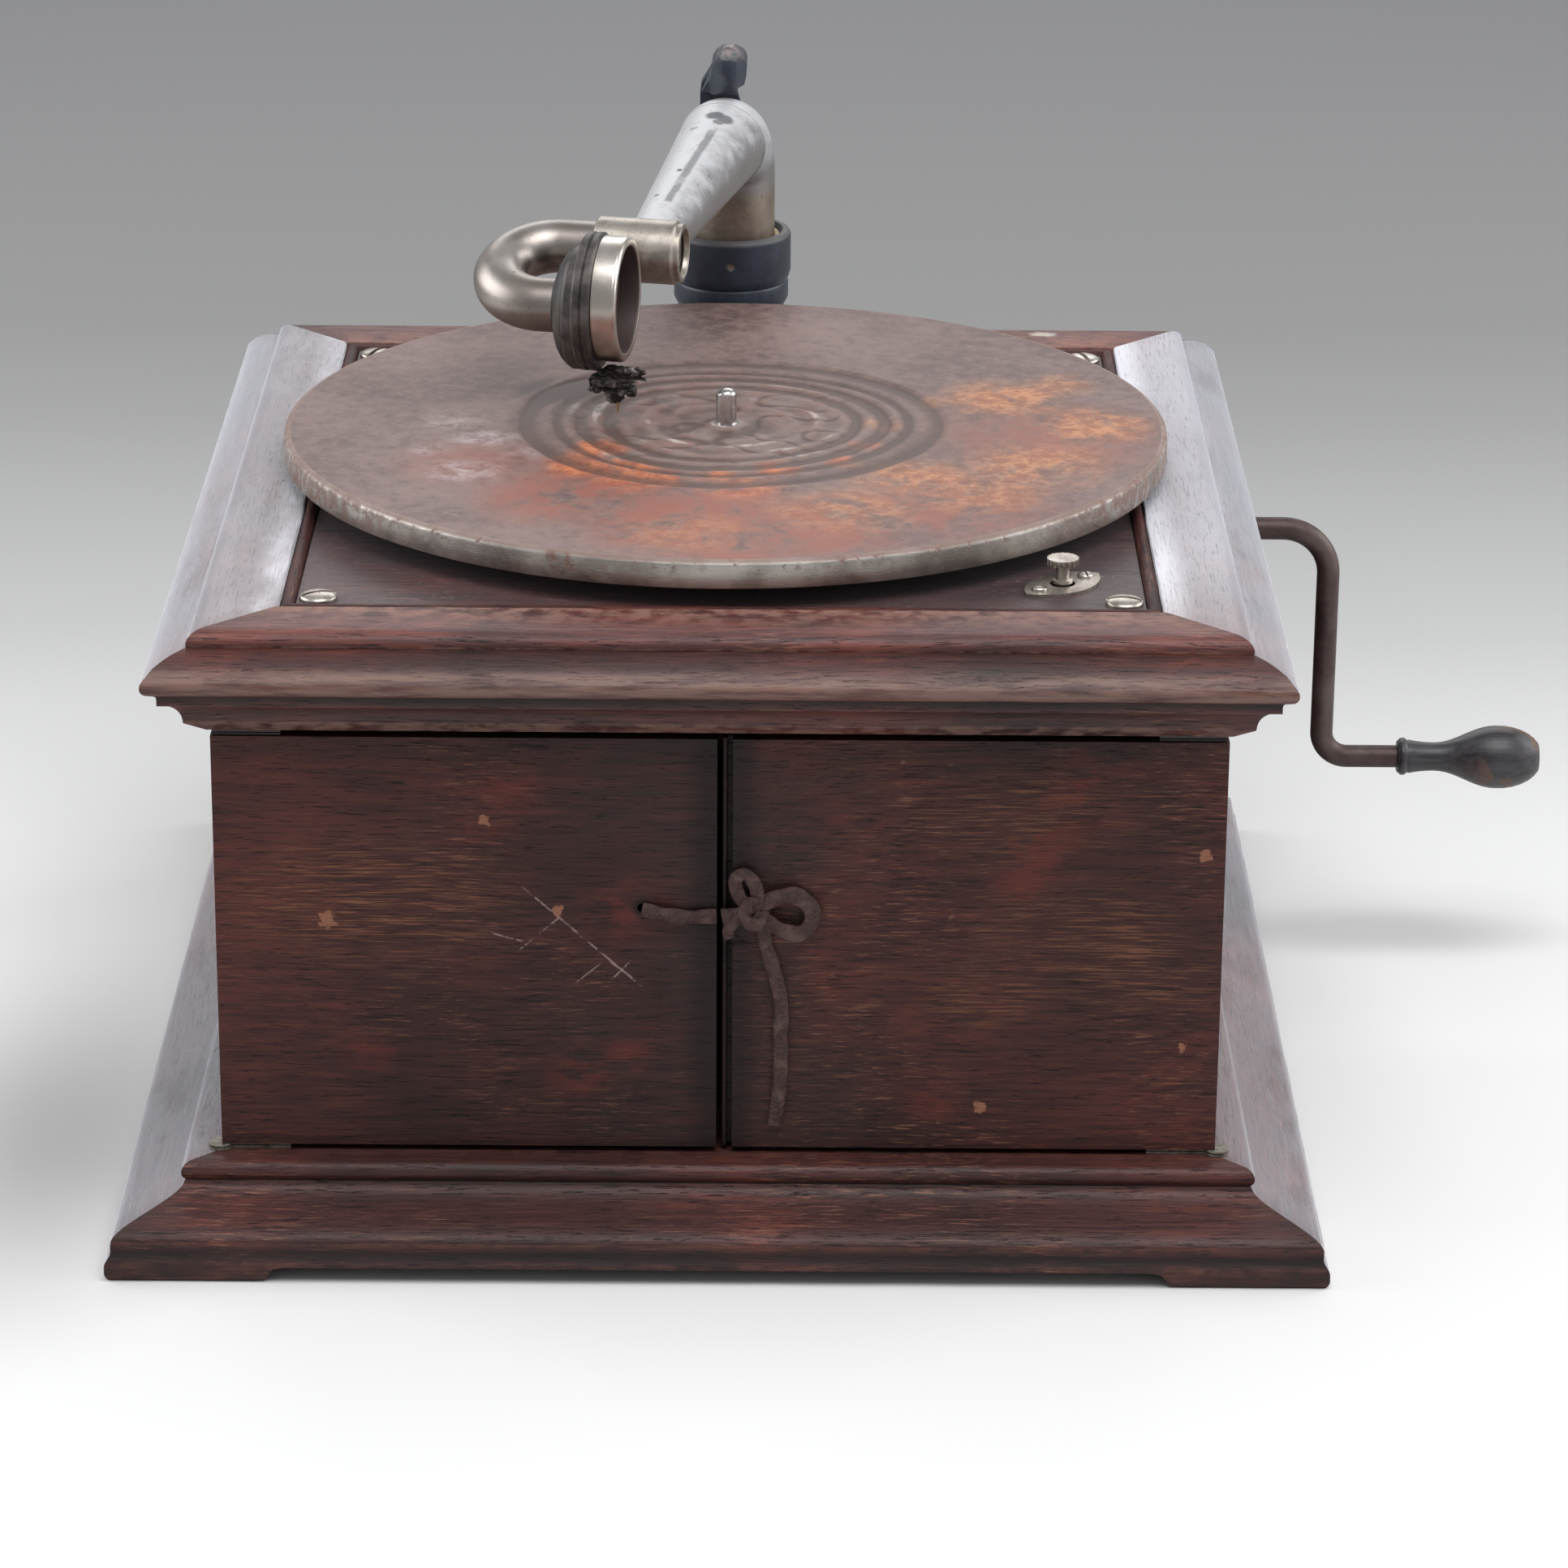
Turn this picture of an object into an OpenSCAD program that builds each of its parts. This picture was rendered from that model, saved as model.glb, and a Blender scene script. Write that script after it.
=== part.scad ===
// Tabletop gramophone: moulded oak case with an inner horn, a spring motor, a
// twelve inch turntable, a swinging tone arm with a throw-back sound box and a side crank.
// Millimetres. +X right, -Y towards the doors, +Z up. Origin: centre of the case on the table.

/* [Case] */
// Distance of each case side's outer face from the turntable's rim
side_room = 11.3; // [10.5:0.1:20]
// Distance of the door fronts from the turntable's rim
front_room = 23.6; // [22:0.2:30]
// Distance of the rear edges of the sides from the turntable's rim
rear_room = 16.6; // [15:0.2:24]
// Thickness of the case sides
side_t = 12; // [10:1:14]
// Height of the plinth up to the ledge that carries the case
ledge_z = 31.6; // [30:0.5:36]
// Height of the case between the plinth and the cornice
case_h = 146.7; // [140:1:165]
// Thickness of the bottom board
bottom_t = 11.6; // [8:0.2:14]
// Thickness of the back panel
back_t = 9.5; // [7:0.5:11]
// Distance that the back panel is set in from the rear edges of the sides
back_inset = 13; // [12:0.5:16]

/* [Mouldings] */
// Reach of the plinth foot beyond the case
foot_out = 35.5; // [30:0.5:40]
// Height of the cut under the plinth between the feet
foot_cut_h = 5.5; // [3:0.5:8]
// Length of a foot along the plinth
foot_len = 52; // [40:1:70]
// Height of the cornice block
cornice_h = 29.8; // [28:0.2:34]
// Reach of the cornice nosing beyond the case
nosing_out = 19.4; // [16:0.2:22]
// Thickness of the top rails
rail_t = 5.2; // [4:0.2:7]
// Width of the top rails inside the case face
rail_in = 21.3; // [18:0.5:24]
// Width of the beading round the motor board
bead_w = 5; // [3:0.5:7]

/* [Doors] */
// Thickness of the doors
door_t = 16; // [12:0.5:18]
// Gap between each door and the ledge or the cornice
door_gap = 2; // [1.8:0.1:3]
// Gap between the closed doors
door_meet_gap = 1.7; // [1:0.1:2.5]
// Radius of the hinge pins
hinge_pin_r = 2; // [1.5:0.1:2.5]

/* [Turntable] */
// Radius of the turntable
turntable_r = 152.4; // [125:0.2:153]
// Height of the turntable rim
turntable_rim_h = 9.5; // [8:0.5:12]
// Thickness of the pressed plate
turntable_t = 1.6; // [1.2:0.1:2.5]
// Height of the rim's lower edge above the top rails
turntable_lift = 5.7; // [4:0.2:9]
// Radius of the record pin
pin_r = 3.55; // [3.4:0.05:3.7]
// Height of the record pin above the turntable
pin_h = 12.3; // [9:0.1:16]

/* [Motor] */
// Tooth module of the spur gears
tooth_m = 1; // [0.9:0.05:1.1]
// Teeth of the great wheel on the barrel
great_n = 84; // [84:1:84]
// Teeth of the pinion that the great wheel drives
mid_pinion_n = 14; // [14:1:14]
// Teeth of the wheel that drives the spindle
mid_wheel_n = 60; // [60:1:60]
// Teeth of the spindle pinion
spindle_pinion_n = 15; // [15:1:15]
// Teeth of the spindle wheel that drives the governor
spindle_wheel_n = 64; // [64:1:64]
// Teeth of the governor pinion
governor_n = 10; // [10:1:10]
// Thickness of the motor board
board_t = 12; // [9:0.5:14]
// Radius of the spring barrel
barrel_r = 36; // [32:0.5:37]
// Height of the spring barrel
barrel_h = 26; // [22:0.5:28]

/* [Crank] */
// Distance of the crank shaft behind the turntable's axis
crank_back = 68.5; // [66:0.5:72]
// Depth of the crank shaft below the motor board
crank_drop = 30.5; // [29.5:0.1:31.5]
// Radius of the crank rod
crank_rod_r = 4.1; // [3.5:0.1:4.5]
// Throw of the crank
crank_throw = 87.4; // [75:0.2:95]
// Distance of the crank arm from the case side
crank_out = 53.8; // [50:0.2:62]
// Length of the wooden grip
grip_len = 51.7; // [45:0.1:60]

/* [Tone arm] */
// Distance of the arm's pivot behind the rear edges of the sides
pivot_out = 7.5; // [6.5:0.1:11]
// Angle of the arm at rest, turned left from straight ahead
arm_angle = 11.2; // [0:0.2:20]
// Outer radius of the arm at its elbow
riser_r = 16.2; // [15:0.1:16.6]
// Wall of the arm tube
arm_wall = 1.2; // [0.8:0.1:1.6]
// Outer radius of the arm at the cross tube
arm_tip_r = 8.9; // [8:0.1:10]
// Distance from the pivot to the cross tube
arm_reach = 131; // [128:0.5:134]
// Outer radius of the cross tube
cross_r = 11.3; // [11:0.1:11.6]
// Outer radius of the gooseneck tube
neck_r = 9.4; // [9:0.1:9.7]
// Radial running clearance of tubes and shafts
run_gap = 0.08; // [0.05:0.01:0.1]

/* [Sound box] */
// Outer radius of the sound box body
box_r = 24; // [22:0.2:24.4]
// Radius of the nickel face ring
face_r = 21.8; // [20:0.2:22]
// Lean of the needle from upright
needle_lean = 7.5; // [4:0.1:8]

/* [Hidden] */
$fn = 64;

case_w = 2 * (turntable_r + side_room);
case_d = 2 * turntable_r + front_room + rear_room;
half_w = case_w / 2;
half_d = case_d / 2;
spindle_y = (front_room - rear_room) / 2;
pivot_y = half_d + pivot_out;
soffit_z = ledge_z + case_h;
cornice_z = soffit_z + cornice_h;
top_z = cornice_z + rail_t;
board_drop = 1.8;
board_z = top_z - board_drop;
board_low_z = board_z - board_t;
crank_y = spindle_y + crank_back;
crank_z = board_low_z - crank_drop;
crank_x = half_w + crank_out;
crank_over_plate = 57;
motor_low_z = crank_z - crank_over_plate;
fit = 0.3;
big = 600;

oak = [0.30, 0.19, 0.17];
oak_dark = [0.24, 0.15, 0.14];
nickel = [0.76, 0.73, 0.69];
steel = [0.55, 0.53, 0.51];
brass = [0.72, 0.58, 0.33];
iron = [0.15, 0.16, 0.18];
leather = [0.32, 0.20, 0.13];

// Points on an arc in a plane
function arc(cx, cy, r, from, to, n) =
    [for (i = [0:n]) let (a = from + (to - from) * i / n) [cx + r * cos(a), cy + r * sin(a)]];

// One moulded length along the front of a frame, mitred at both ends.
// The profile is in distance outward from the case face and height.
module front_length(half_run, half_depth, profile) {
    reach = 80;
    intersection() {
        translate([0, -half_depth, 0])
            rotate([90, 0, 90])
                linear_extrude(height = big, center = true)
                    polygon([for (p = profile) [-p[0], p[1]]]);
        linear_extrude(height = big, center = true)
            polygon([
                [-half_run - reach, -half_depth - reach],
                [half_run + reach, -half_depth - reach],
                [half_run - reach, -half_depth + reach],
                [-half_run + reach, -half_depth + reach]
            ]);
    }
}

module length_on(side, profile) {
    if (side == "front") front_length(half_w, half_d, profile);
    if (side == "rear") rotate([0, 0, 180]) front_length(half_w, half_d, profile);
    if (side == "left") rotate([0, 0, -90]) front_length(half_d, half_w, profile);
    if (side == "right") rotate([0, 0, 90]) front_length(half_d, half_w, profile);
}

// Plinth: square foot, ogee and a bead under the ledge
foot_step = foot_out - 2.1;
ogee_foot_z = 13;
ogee_top_z = ledge_z - 6.4;
ogee_top_out = 11;
ogee_curl = 0.12;
bead_r = 3.3;
plinth_profile = concat(
    [[-side_t, 0], [foot_out - 1.2, 0], [foot_out, 2.2], [foot_out, 6], [foot_step, 9]],
    [for (i = [0:12]) let (t = i / 12, s = t - ogee_curl * sin(360 * t))
        [foot_step + (ogee_top_out - foot_step) * s,
         ogee_foot_z + (ogee_top_z - ogee_foot_z) * t]],
    arc(ogee_top_out - 2.3, ledge_z - 3.3, bead_r, -55, 90, 7),
    [[-side_t, ledge_z]]
);

// Prisms that leave a foot at each end of a plinth length
module foot_cut(side) {
    run = (side == "front" || side == "rear") ? half_w : half_d;
    depth = (side == "front" || side == "rear") ? half_d : half_w;
    angle = side == "front" ? 0 : side == "rear" ? 180 : side == "left" ? -90 : 90;
    span = run + foot_out - foot_len;
    rotate([0, 0, angle])
        translate([0, -depth + side_t + 1, 0])
            rotate([90, 0, 0])
                linear_extrude(height = foot_out + side_t + 10)
                    polygon(concat([[-span, -1], [span, -1]],
                        arc(span - foot_cut_h, 0, foot_cut_h, 0, 90, 5),
                        arc(-span + foot_cut_h, 0, foot_cut_h, 90, 180, 5)));
}

module plinth(side) {
    color(oak_dark)
        difference() {
            length_on(side, plinth_profile);
            foot_cut(side);
        }
}

// Cornice: cavetto, fillet, nosing and a swept top
cornice_profile = concat(
    [[-side_t, soffit_z], [0, soffit_z], [7.2, soffit_z + 4.9]],
    arc(15.5, soffit_z + 4.9, 8.3, 172, 97, 6),
    [[14.6, soffit_z + 13.4], [14.6, soffit_z + 16.4]],
    arc(nosing_out - 3.2, soffit_z + 20.6, 3.2, -60, 45, 7),
    [[15.4, cornice_z - 3.7], [12.2, cornice_z - 1.9], [9.2, cornice_z - 0.7], [6.2, cornice_z]],
    [[-side_t, cornice_z]]
);

module cornice(side) {
    color(oak) length_on(side, cornice_profile);
}

// The rear length is in two pieces, one each side of the sound conduit
conduit_r = 18.5;
conduit_slot = 2 * (conduit_r + 1);
module cornice_rear() {
    color(oak)
        difference() {
            length_on("rear", cornice_profile);
            translate([-conduit_slot / 2, 0, 0]) cube([conduit_slot, big, big]);
        }
}

// Top rails: four mitred boards with an ovolo edge
ovolo_out = 5.8;
rail_profile = concat(
    [[-rail_in, cornice_z], [ovolo_out, cornice_z]],
    [for (i = [0:6]) let (a = 90 * i / 6)
        [ovolo_out * cos(a), top_z - 4.2 + 4.2 * sin(a)]],
    [[-rail_in, top_z]]
);

module top_rails() {
    color(oak)
        difference() {
            for (side = ["front", "rear", "left", "right"]) length_on(side, rail_profile);
            translate([0, pivot_y, cornice_z - 1])
                cylinder(r = conduit_slot / 2, h = rail_t + 2);
            translate([-conduit_slot / 2, pivot_y, cornice_z - 1])
                cube([conduit_slot, 40, rail_t + 2]);
        }
}

cleat_w = 24;
cleat_h = 12;
beading_profile = concat(
    [[-rail_in - bead_w, board_low_z], [-rail_in, board_low_z]],
    arc(-rail_in - bead_w / 2, top_z - bead_w / 2 - 0.3, bead_w / 2, 0, 180, 8)
);

module board_beading() {
    color(oak_dark)
        for (side = ["front", "rear", "left", "right"]) length_on(side, beading_profile);
}

cleat_profile = [
    [-side_t, board_low_z - cleat_h], [-side_t, board_low_z],
    [-side_t - cleat_w, board_low_z], [-side_t - cleat_w, board_low_z - cleat_h]
];

module board_cleats() {
    color(oak_dark)
        for (side = ["front", "rear", "left", "right"]) length_on(side, cleat_profile);
}

module bottom_board() {
    color(oak_dark)
        translate([-half_w + side_t, -half_d + side_t, ledge_z - bottom_t])
            cube([case_w - 2 * side_t, case_d - 2 * side_t, bottom_t]);
}

// Case sides stand behind the doors and run to the rear
door_back_gap = 1.4;
side_front_y = -half_d + door_t + door_back_gap;
crank_hole_r = crank_rod_r + 2.4;
escutcheon_screw_at = 10;
escutcheon_screw_r = 1.2;
module at_escutcheon_screws(x) {
    for (side = [-1, 1])
        translate([x, crank_y + side * escutcheon_screw_at, crank_z])
            rotate([0, 90, 0]) rotate([0, 0, side * 35]) children();
}

module case_side(sign) {
    color(oak)
        difference() {
            translate([sign > 0 ? half_w - side_t : -half_w, side_front_y, ledge_z])
                cube([side_t, half_d - side_front_y, case_h]);
            if (sign > 0) {
                translate([0, crank_y, crank_z])
                    rotate([0, 90, 0]) cylinder(r = crank_hole_r, h = big);
                at_escutcheon_screws(half_w - side_t - 1) cylinder(r = escutcheon_screw_r, h = side_t + 2);
            }
        }
}

back_y = half_d - back_inset;
throat_r = 17.5;
throat_half = throat_r + 4;
motor_gap = 10.5;
throat_z = motor_low_z - motor_gap - throat_half;
bracket_screw_at = 24;
bracket_screw_r = 2.2;
module at_bracket_screws(y) {
    for (x = [-1, 1], z = [-1, 1])
        translate([x * bracket_screw_at, y, throat_z + z * bracket_screw_at])
            rotate([-90, x * z * 25, 0]) children();
}

module case_back() {
    color(oak_dark)
        difference() {
            translate([-half_w + side_t, back_y - back_t, ledge_z])
                cube([case_w - 2 * side_t, back_t, case_h]);
            translate([0, back_y - back_t - 1, throat_z])
                rotate([-90, 0, 0]) cylinder(r = throat_r, h = back_t + 2);
            at_bracket_screws(back_y - back_t - 1)
                cylinder(r = bracket_screw_r, h = back_t + 2);
        }
}

// Motor board with its holes
board_half_x = half_w - rail_in - bead_w - fit / 2;
board_half_y = half_d - rail_in - bead_w - fit / 2;
screw_inset = 7;
board_screw_x = board_half_x - screw_inset;
board_screw_y = board_half_y - screw_inset;
board_screw_r = 2.4;
spindle_hole_r = 12;
regulator_gap = 14.77;
regulator_dir = -48.39;
regulator_x = (turntable_r + regulator_gap) * cos(regulator_dir);
regulator_y = spindle_y + (turntable_r + regulator_gap) * sin(regulator_dir);
regulator_hole_r = 4.2;
reg_turn = 42;
reg_screw_at = 10.5;
reg_screw_r = 1.3;
module at_reg_screws(z) {
    translate([regulator_x, regulator_y, z])
        rotate([0, 0, reg_turn])
            for (x = [-1, 1]) translate([x * reg_screw_at, 0, 0]) rotate([0, 0, x * 63]) children();
}

bolt_r = 3;
axis_s = [0, spindle_y];
motor_bolt_xy = [for (p = [[-66, -37.5], [34, -39.5], [-66, 104.5], [30, 96.5]]) p + axis_s];

module motor_board() {
    color(oak_dark)
        difference() {
            translate([-board_half_x, -board_half_y, board_low_z])
                cube([2 * board_half_x, 2 * board_half_y, board_t]);
            for (x = [-board_screw_x, board_screw_x], y = [-board_screw_y, board_screw_y])
                translate([x, y, board_low_z - 1]) cylinder(r = board_screw_r, h = board_t + 2);
            translate([0, spindle_y, board_low_z - 1])
                cylinder(r = spindle_hole_r, h = board_t + 2);
            translate([regulator_x, regulator_y, board_low_z - 1])
                cylinder(r = regulator_hole_r, h = board_t + 2);
            for (p = motor_bolt_xy)
                translate([p[0], p[1], board_low_z - 1]) cylinder(r = bolt_r, h = board_t + 2);
            at_reg_screws(board_low_z - 1) cylinder(r = reg_screw_r, h = board_t + 2);
        }
}

// Slotted screw with a domed head, head resting on z = 0
module slotted_screw(shank_r, shank_len, head_r, head_h, slot_w) {
    difference() {
        union() {
            rotate_extrude()
                polygon(concat([[0, 0], [head_r, 0], [head_r, head_h * 0.3]],
                    [for (i = [1:5]) let (a = 90 * i / 6)
                        [head_r * cos(a), head_h * (0.3 + 0.7 * sin(a))]],
                    [[0, head_h]]));
            translate([0, 0, -shank_len]) cylinder(r = shank_r, h = shank_len);
        }
        translate([-head_r - 1, -slot_w / 2, head_h * 0.5]) cube([2 * head_r + 2, slot_w, head_h]);
    }
}

module motor_board_screws() {
    turns = [[-1, -1, 20], [1, -1, -8], [-1, 1, 65], [1, 1, 110]];
    color(steel)
        for (t = turns)
            translate([t[0] * board_screw_x, t[1] * board_screw_y, board_z])
                rotate([0, 0, t[2]])
                    slotted_screw(board_screw_r, board_t - 0.5, 6.2, 2.6, 1.6);
}

// Doors, hung on pins in their outer front corners
door_low_z = ledge_z + door_gap;
door_top_z = soffit_z - door_gap;
hinge_x = half_w - 5;
hinge_y = -half_d + 5;
pin_len = 8;
door_edge_gap = 0.5;
lace_hole_x = -25;
lace_z = 118;
bead_step = 1.7;

module door_pin_holes(sign) {
    for (z = [door_low_z - 1, door_top_z - pin_len - 0.5])
        translate([sign * hinge_x, hinge_y, z])
            cylinder(r = hinge_pin_r + run_gap, h = pin_len + 1.5);
}

module door_left() {
    color(oak)
        difference() {
            translate([-half_w + door_edge_gap, -half_d, door_low_z])
                cube([half_w - door_edge_gap - door_meet_gap / 2, door_t, door_top_z - door_low_z]);
            door_pin_holes(-1);
            translate([lace_hole_x, -half_d - 1, lace_z])
                rotate([-90, 0, 0]) cylinder(r = 1.6, h = door_t + 2);
        }
}

// The right door carries a quirked bead along its meeting edge
module door_right() {
    x0 = door_meet_gap / 2;
    color(oak)
        difference() {
            translate([0, 0, door_low_z])
                linear_extrude(height = door_top_z - door_low_z)
                    polygon(concat(
                        [[half_w - door_edge_gap, -half_d + door_t], [x0, -half_d + door_t]],
                        [[x0, -half_d + 2.4]],
                        arc(x0 + bead_step / 2, -half_d + 2.3, bead_step / 2, 180, 360, 6),
                        [[x0 + bead_step, -half_d + 4], [x0 + 2 * bead_step, -half_d + 4]],
                        [[x0 + 2 * bead_step, -half_d], [half_w - door_edge_gap, -half_d]]));
            door_pin_holes(1);
        }
}

// Hinge plates: one leaf with a pin on the case, one leaf with a hole on the door. The lower
// leaves have a round ear that shows outside the corner of the door.
leaf_t = 0.85;
leaf_l = 22;
leaf_d = 10;
ear_r = 4;
ear_x = half_w + 0.2;
ear_y = -half_d + 2.2;
module leaf(sign, bore, ear) {
    difference() {
        union() {
            translate([sign > 0 ? hinge_x + 4 - leaf_l : -hinge_x - 4, hinge_y - 4, 0])
                cube([leaf_l, leaf_d, leaf_t]);
            if (ear)
                translate([sign * ear_x, ear_y, 0]) cylinder(r = ear_r, h = leaf_t);
        }
        if (bore > 0)
            translate([sign * hinge_x, hinge_y, -1]) cylinder(r = bore, h = leaf_t + 2);
    }
}

module hinge_plates() {
    color(brass)
        for (sign = [-1, 1]) {
            translate([0, 0, ledge_z]) leaf(sign, 0, true);
            translate([0, 0, soffit_z - leaf_t]) leaf(sign, 0, false);
            for (z = [ledge_z + leaf_t, soffit_z - leaf_t - pin_len])
                translate([sign * hinge_x, hinge_y, z]) cylinder(r = hinge_pin_r, h = pin_len);
        }
}

module door_plates(sign) {
    color(brass) {
        translate([0, 0, door_low_z - leaf_t]) leaf(sign, hinge_pin_r + run_gap, true);
        translate([0, 0, door_top_z]) leaf(sign, hinge_pin_r + run_gap, false);
    }
}

// Inner horn: a sheet flare from the throat at the back to a wide mouth behind the doors,
// made of two side sheets and of a roof and a floor sheet that are soldered in between them
horn_wall = 1.6;
horn_back_y = back_y - back_t - 10;
mouth_y = side_front_y + 6;
mouth_low = ledge_z + 6;
mouth_high = soffit_z - 9;
mouth_half = half_w - side_t - 8;
flare_n = 9;
function flare(t) = pow(t, 5);
function flare_y(t) = horn_back_y + (mouth_y - horn_back_y) * t;
function flare_low(t) = throat_z - throat_half + (mouth_low - throat_z + throat_half) * pow(t, 0.8);
function flare_high(t) = throat_z + throat_half + (mouth_high - throat_z - throat_half) * flare(t);
function flare_half(t) = throat_half + (mouth_half - throat_half) * pow(t, 1.5);

module horn_plan(inset, over) {
    steps = [for (i = [0:flare_n]) i / flare_n];
    linear_extrude(height = big)
        polygon(concat(
            [[mouth_half - inset, mouth_y - over]],
            [for (i = [0:flare_n]) let (t = 1 - i / flare_n) [flare_half(t) - inset, flare_y(t)]],
            [for (t = steps) [-flare_half(t) + inset, flare_y(t)]],
            [[-mouth_half + inset, mouth_y - over]]));
}

module horn_shape(inset, over) {
    steps = [for (i = [0:flare_n]) i / flare_n];
    intersection() {
        rotate([90, 0, 90])
            linear_extrude(height = big, center = true)
                polygon(concat(
                    [[mouth_y - over, mouth_high - inset]],
                    [for (i = [0:flare_n]) let (t = 1 - i / flare_n) [flare_y(t), flare_high(t) - inset]],
                    [for (t = steps) [flare_y(t), flare_low(t) + inset]],
                    [[mouth_y - over, mouth_low + inset]]));
        horn_plan(inset, over);
    }
}

module horn_shell() {
    difference() {
        horn_shape(0, 0);
        difference() {
            horn_shape(horn_wall, 5);
            translate([-big / 2, horn_back_y - horn_wall, 0]) cube([big, big, big]);
        }
        translate([0, horn_back_y - 10, throat_z])
            rotate([-90, 0, 0]) cylinder(r = throat_r, h = 20);
    }
}

module horn_sides() {
    color(iron)
        difference() {
            horn_shell();
            horn_plan(horn_wall, 5);
        }
}

// The small end's plate is split at the throat's middle between the roof and the floor
module horn_covers() {
    color(iron)
        for (low = [0, throat_z])
            intersection() {
                horn_shell();
                horn_plan(horn_wall, 5);
                translate([-big / 2, -big / 2, low]) cube([big, big, low > 0 ? big : throat_z]);
            }
}

// Frame that joins the horn's mouth to the case
frame_t = 6;
frame_y = mouth_y - frame_t;
module horn_frame() {
    color(oak_dark)
        difference() {
            translate([-half_w + side_t, frame_y, ledge_z])
                cube([case_w - 2 * side_t, frame_t, case_h]);
            translate([-mouth_half + horn_wall, frame_y - 1, mouth_low + horn_wall])
                cube([2 * (mouth_half - horn_wall), frame_t + 2, mouth_high - mouth_low - 2 * horn_wall]);
        }
}

pipe_wall = 2;
module horn_throat() {
    color(iron)
        translate([0, horn_back_y - horn_wall, throat_z])
            rotate([-90, 0, 0])
                difference() {
                    cylinder(r = throat_r, h = back_y - horn_back_y + horn_wall);
                    translate([0, 0, -1])
                        cylinder(r = throat_r - pipe_wall, h = back_y - horn_back_y + horn_wall + 2);
                }
}

// Rear bracket: flange, elbow, conduit, collar and the strap over the arm, one casting
conduit_bore = throat_r - pipe_wall;
elbow_r = pivot_y - back_y;
collar_top_z = top_z + 37;
collar_r = 22.3;
collar_low_r = 21.4;
collar_low_z = top_z + 11.5;
collar_groove_z = top_z + 20.5;
bush_wall = 1.6;
collar_bore = riser_r + run_gap + bush_wall;
shelf_z = top_z + 20;
crown_z = top_z + 87.3;
flange_w = 62;
flange_t = 4.5;

module collar_profile(bore) {
    rotate_extrude()
        polygon(concat(
            [[bore, shelf_z], [conduit_bore, shelf_z], [conduit_bore, collar_low_z - 6]],
            [[conduit_r, collar_low_z - 6], [collar_low_r, collar_low_z]],
            [[collar_low_r, collar_groove_z - 3.5], [collar_low_r - 0.6, collar_groove_z - 2.6]],
            [[collar_low_r, collar_groove_z - 1.6], [collar_r, collar_groove_z + 1.2]],
            arc(collar_r - 2, collar_top_z - 2, 2, 0, 90, 5),
            [[bore + 1.4, collar_top_z], [bore, collar_top_z - 1.4]]));
}

// Strap seen from the front: it leans from behind the elbow to a rounded head
strap_front = [
    [-14, collar_groove_z], [14, collar_groove_z], [11, collar_top_z + 12], [5, crown_z - 14],
    [1.6, crown_z - 2], [1.8, crown_z + 0.6], [2.4, crown_z + 4.5], [4.6, crown_z + 5.1],
    [5.3, crown_z + 7.8], [5.6, crown_z + 11.3], [4.9, crown_z + 13.9], [3.4, crown_z + 16],
    [1.6, crown_z + 18], [0.4, crown_z + 19.1], [-2, crown_z + 19.1], [-3.4, crown_z + 18.1],
    [-4.5, crown_z + 16.4], [-5.9, crown_z + 14.4], [-7.1, crown_z + 11.7], [-7.7, crown_z + 7.7],
    [-8.9, crown_z + 5.3], [-11.5, crown_z + 0.7], [-12, crown_z - 4], [-12, crown_z - 14],
    [-14, collar_top_z + 12]
];
// The same strap seen from the side, as distance behind the pivot and height
strap_side = concat(
    [[collar_low_r - 1, collar_groove_z], [collar_r + 5.5, collar_groove_z]],
    [[collar_r + 4.6, collar_top_z + 6], [collar_r + 3.4, crown_z - 14]],
    arc(-1, crown_z - 6, 25.2, 22, 84, 8),
    [[-1.6, crown_z + 19], [-4, crown_z + 17.8], [-6, crown_z + 15.4], [-7.2, crown_z + 11.4]],
    [[-7.4, crown_z + 6.4], [-6.6, crown_z + 3.4], [-4, crown_z + 1.3]],
    [[4, crown_z + 1.3], [8, crown_z + 3.2]],
    arc(-1, crown_z - 6, 18.6, 38, 12, 3),
    [[collar_low_r - 1, crown_z - 14], [collar_low_r - 1, collar_top_z - 3]]
);
// And from above, where the front of the head is round
strap_plan = [
    [-20, 40], [-20, 3], [-8.6, 0.6], [-7.6, -1.8], [-6, -4.2], [-3.8, -6.2], [-1, -7.6], [1.6, -6.4],
    [3.8, -4.4], [5.2, -1.8], [6, 0.6], [20, 3], [20, 40]
];

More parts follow.
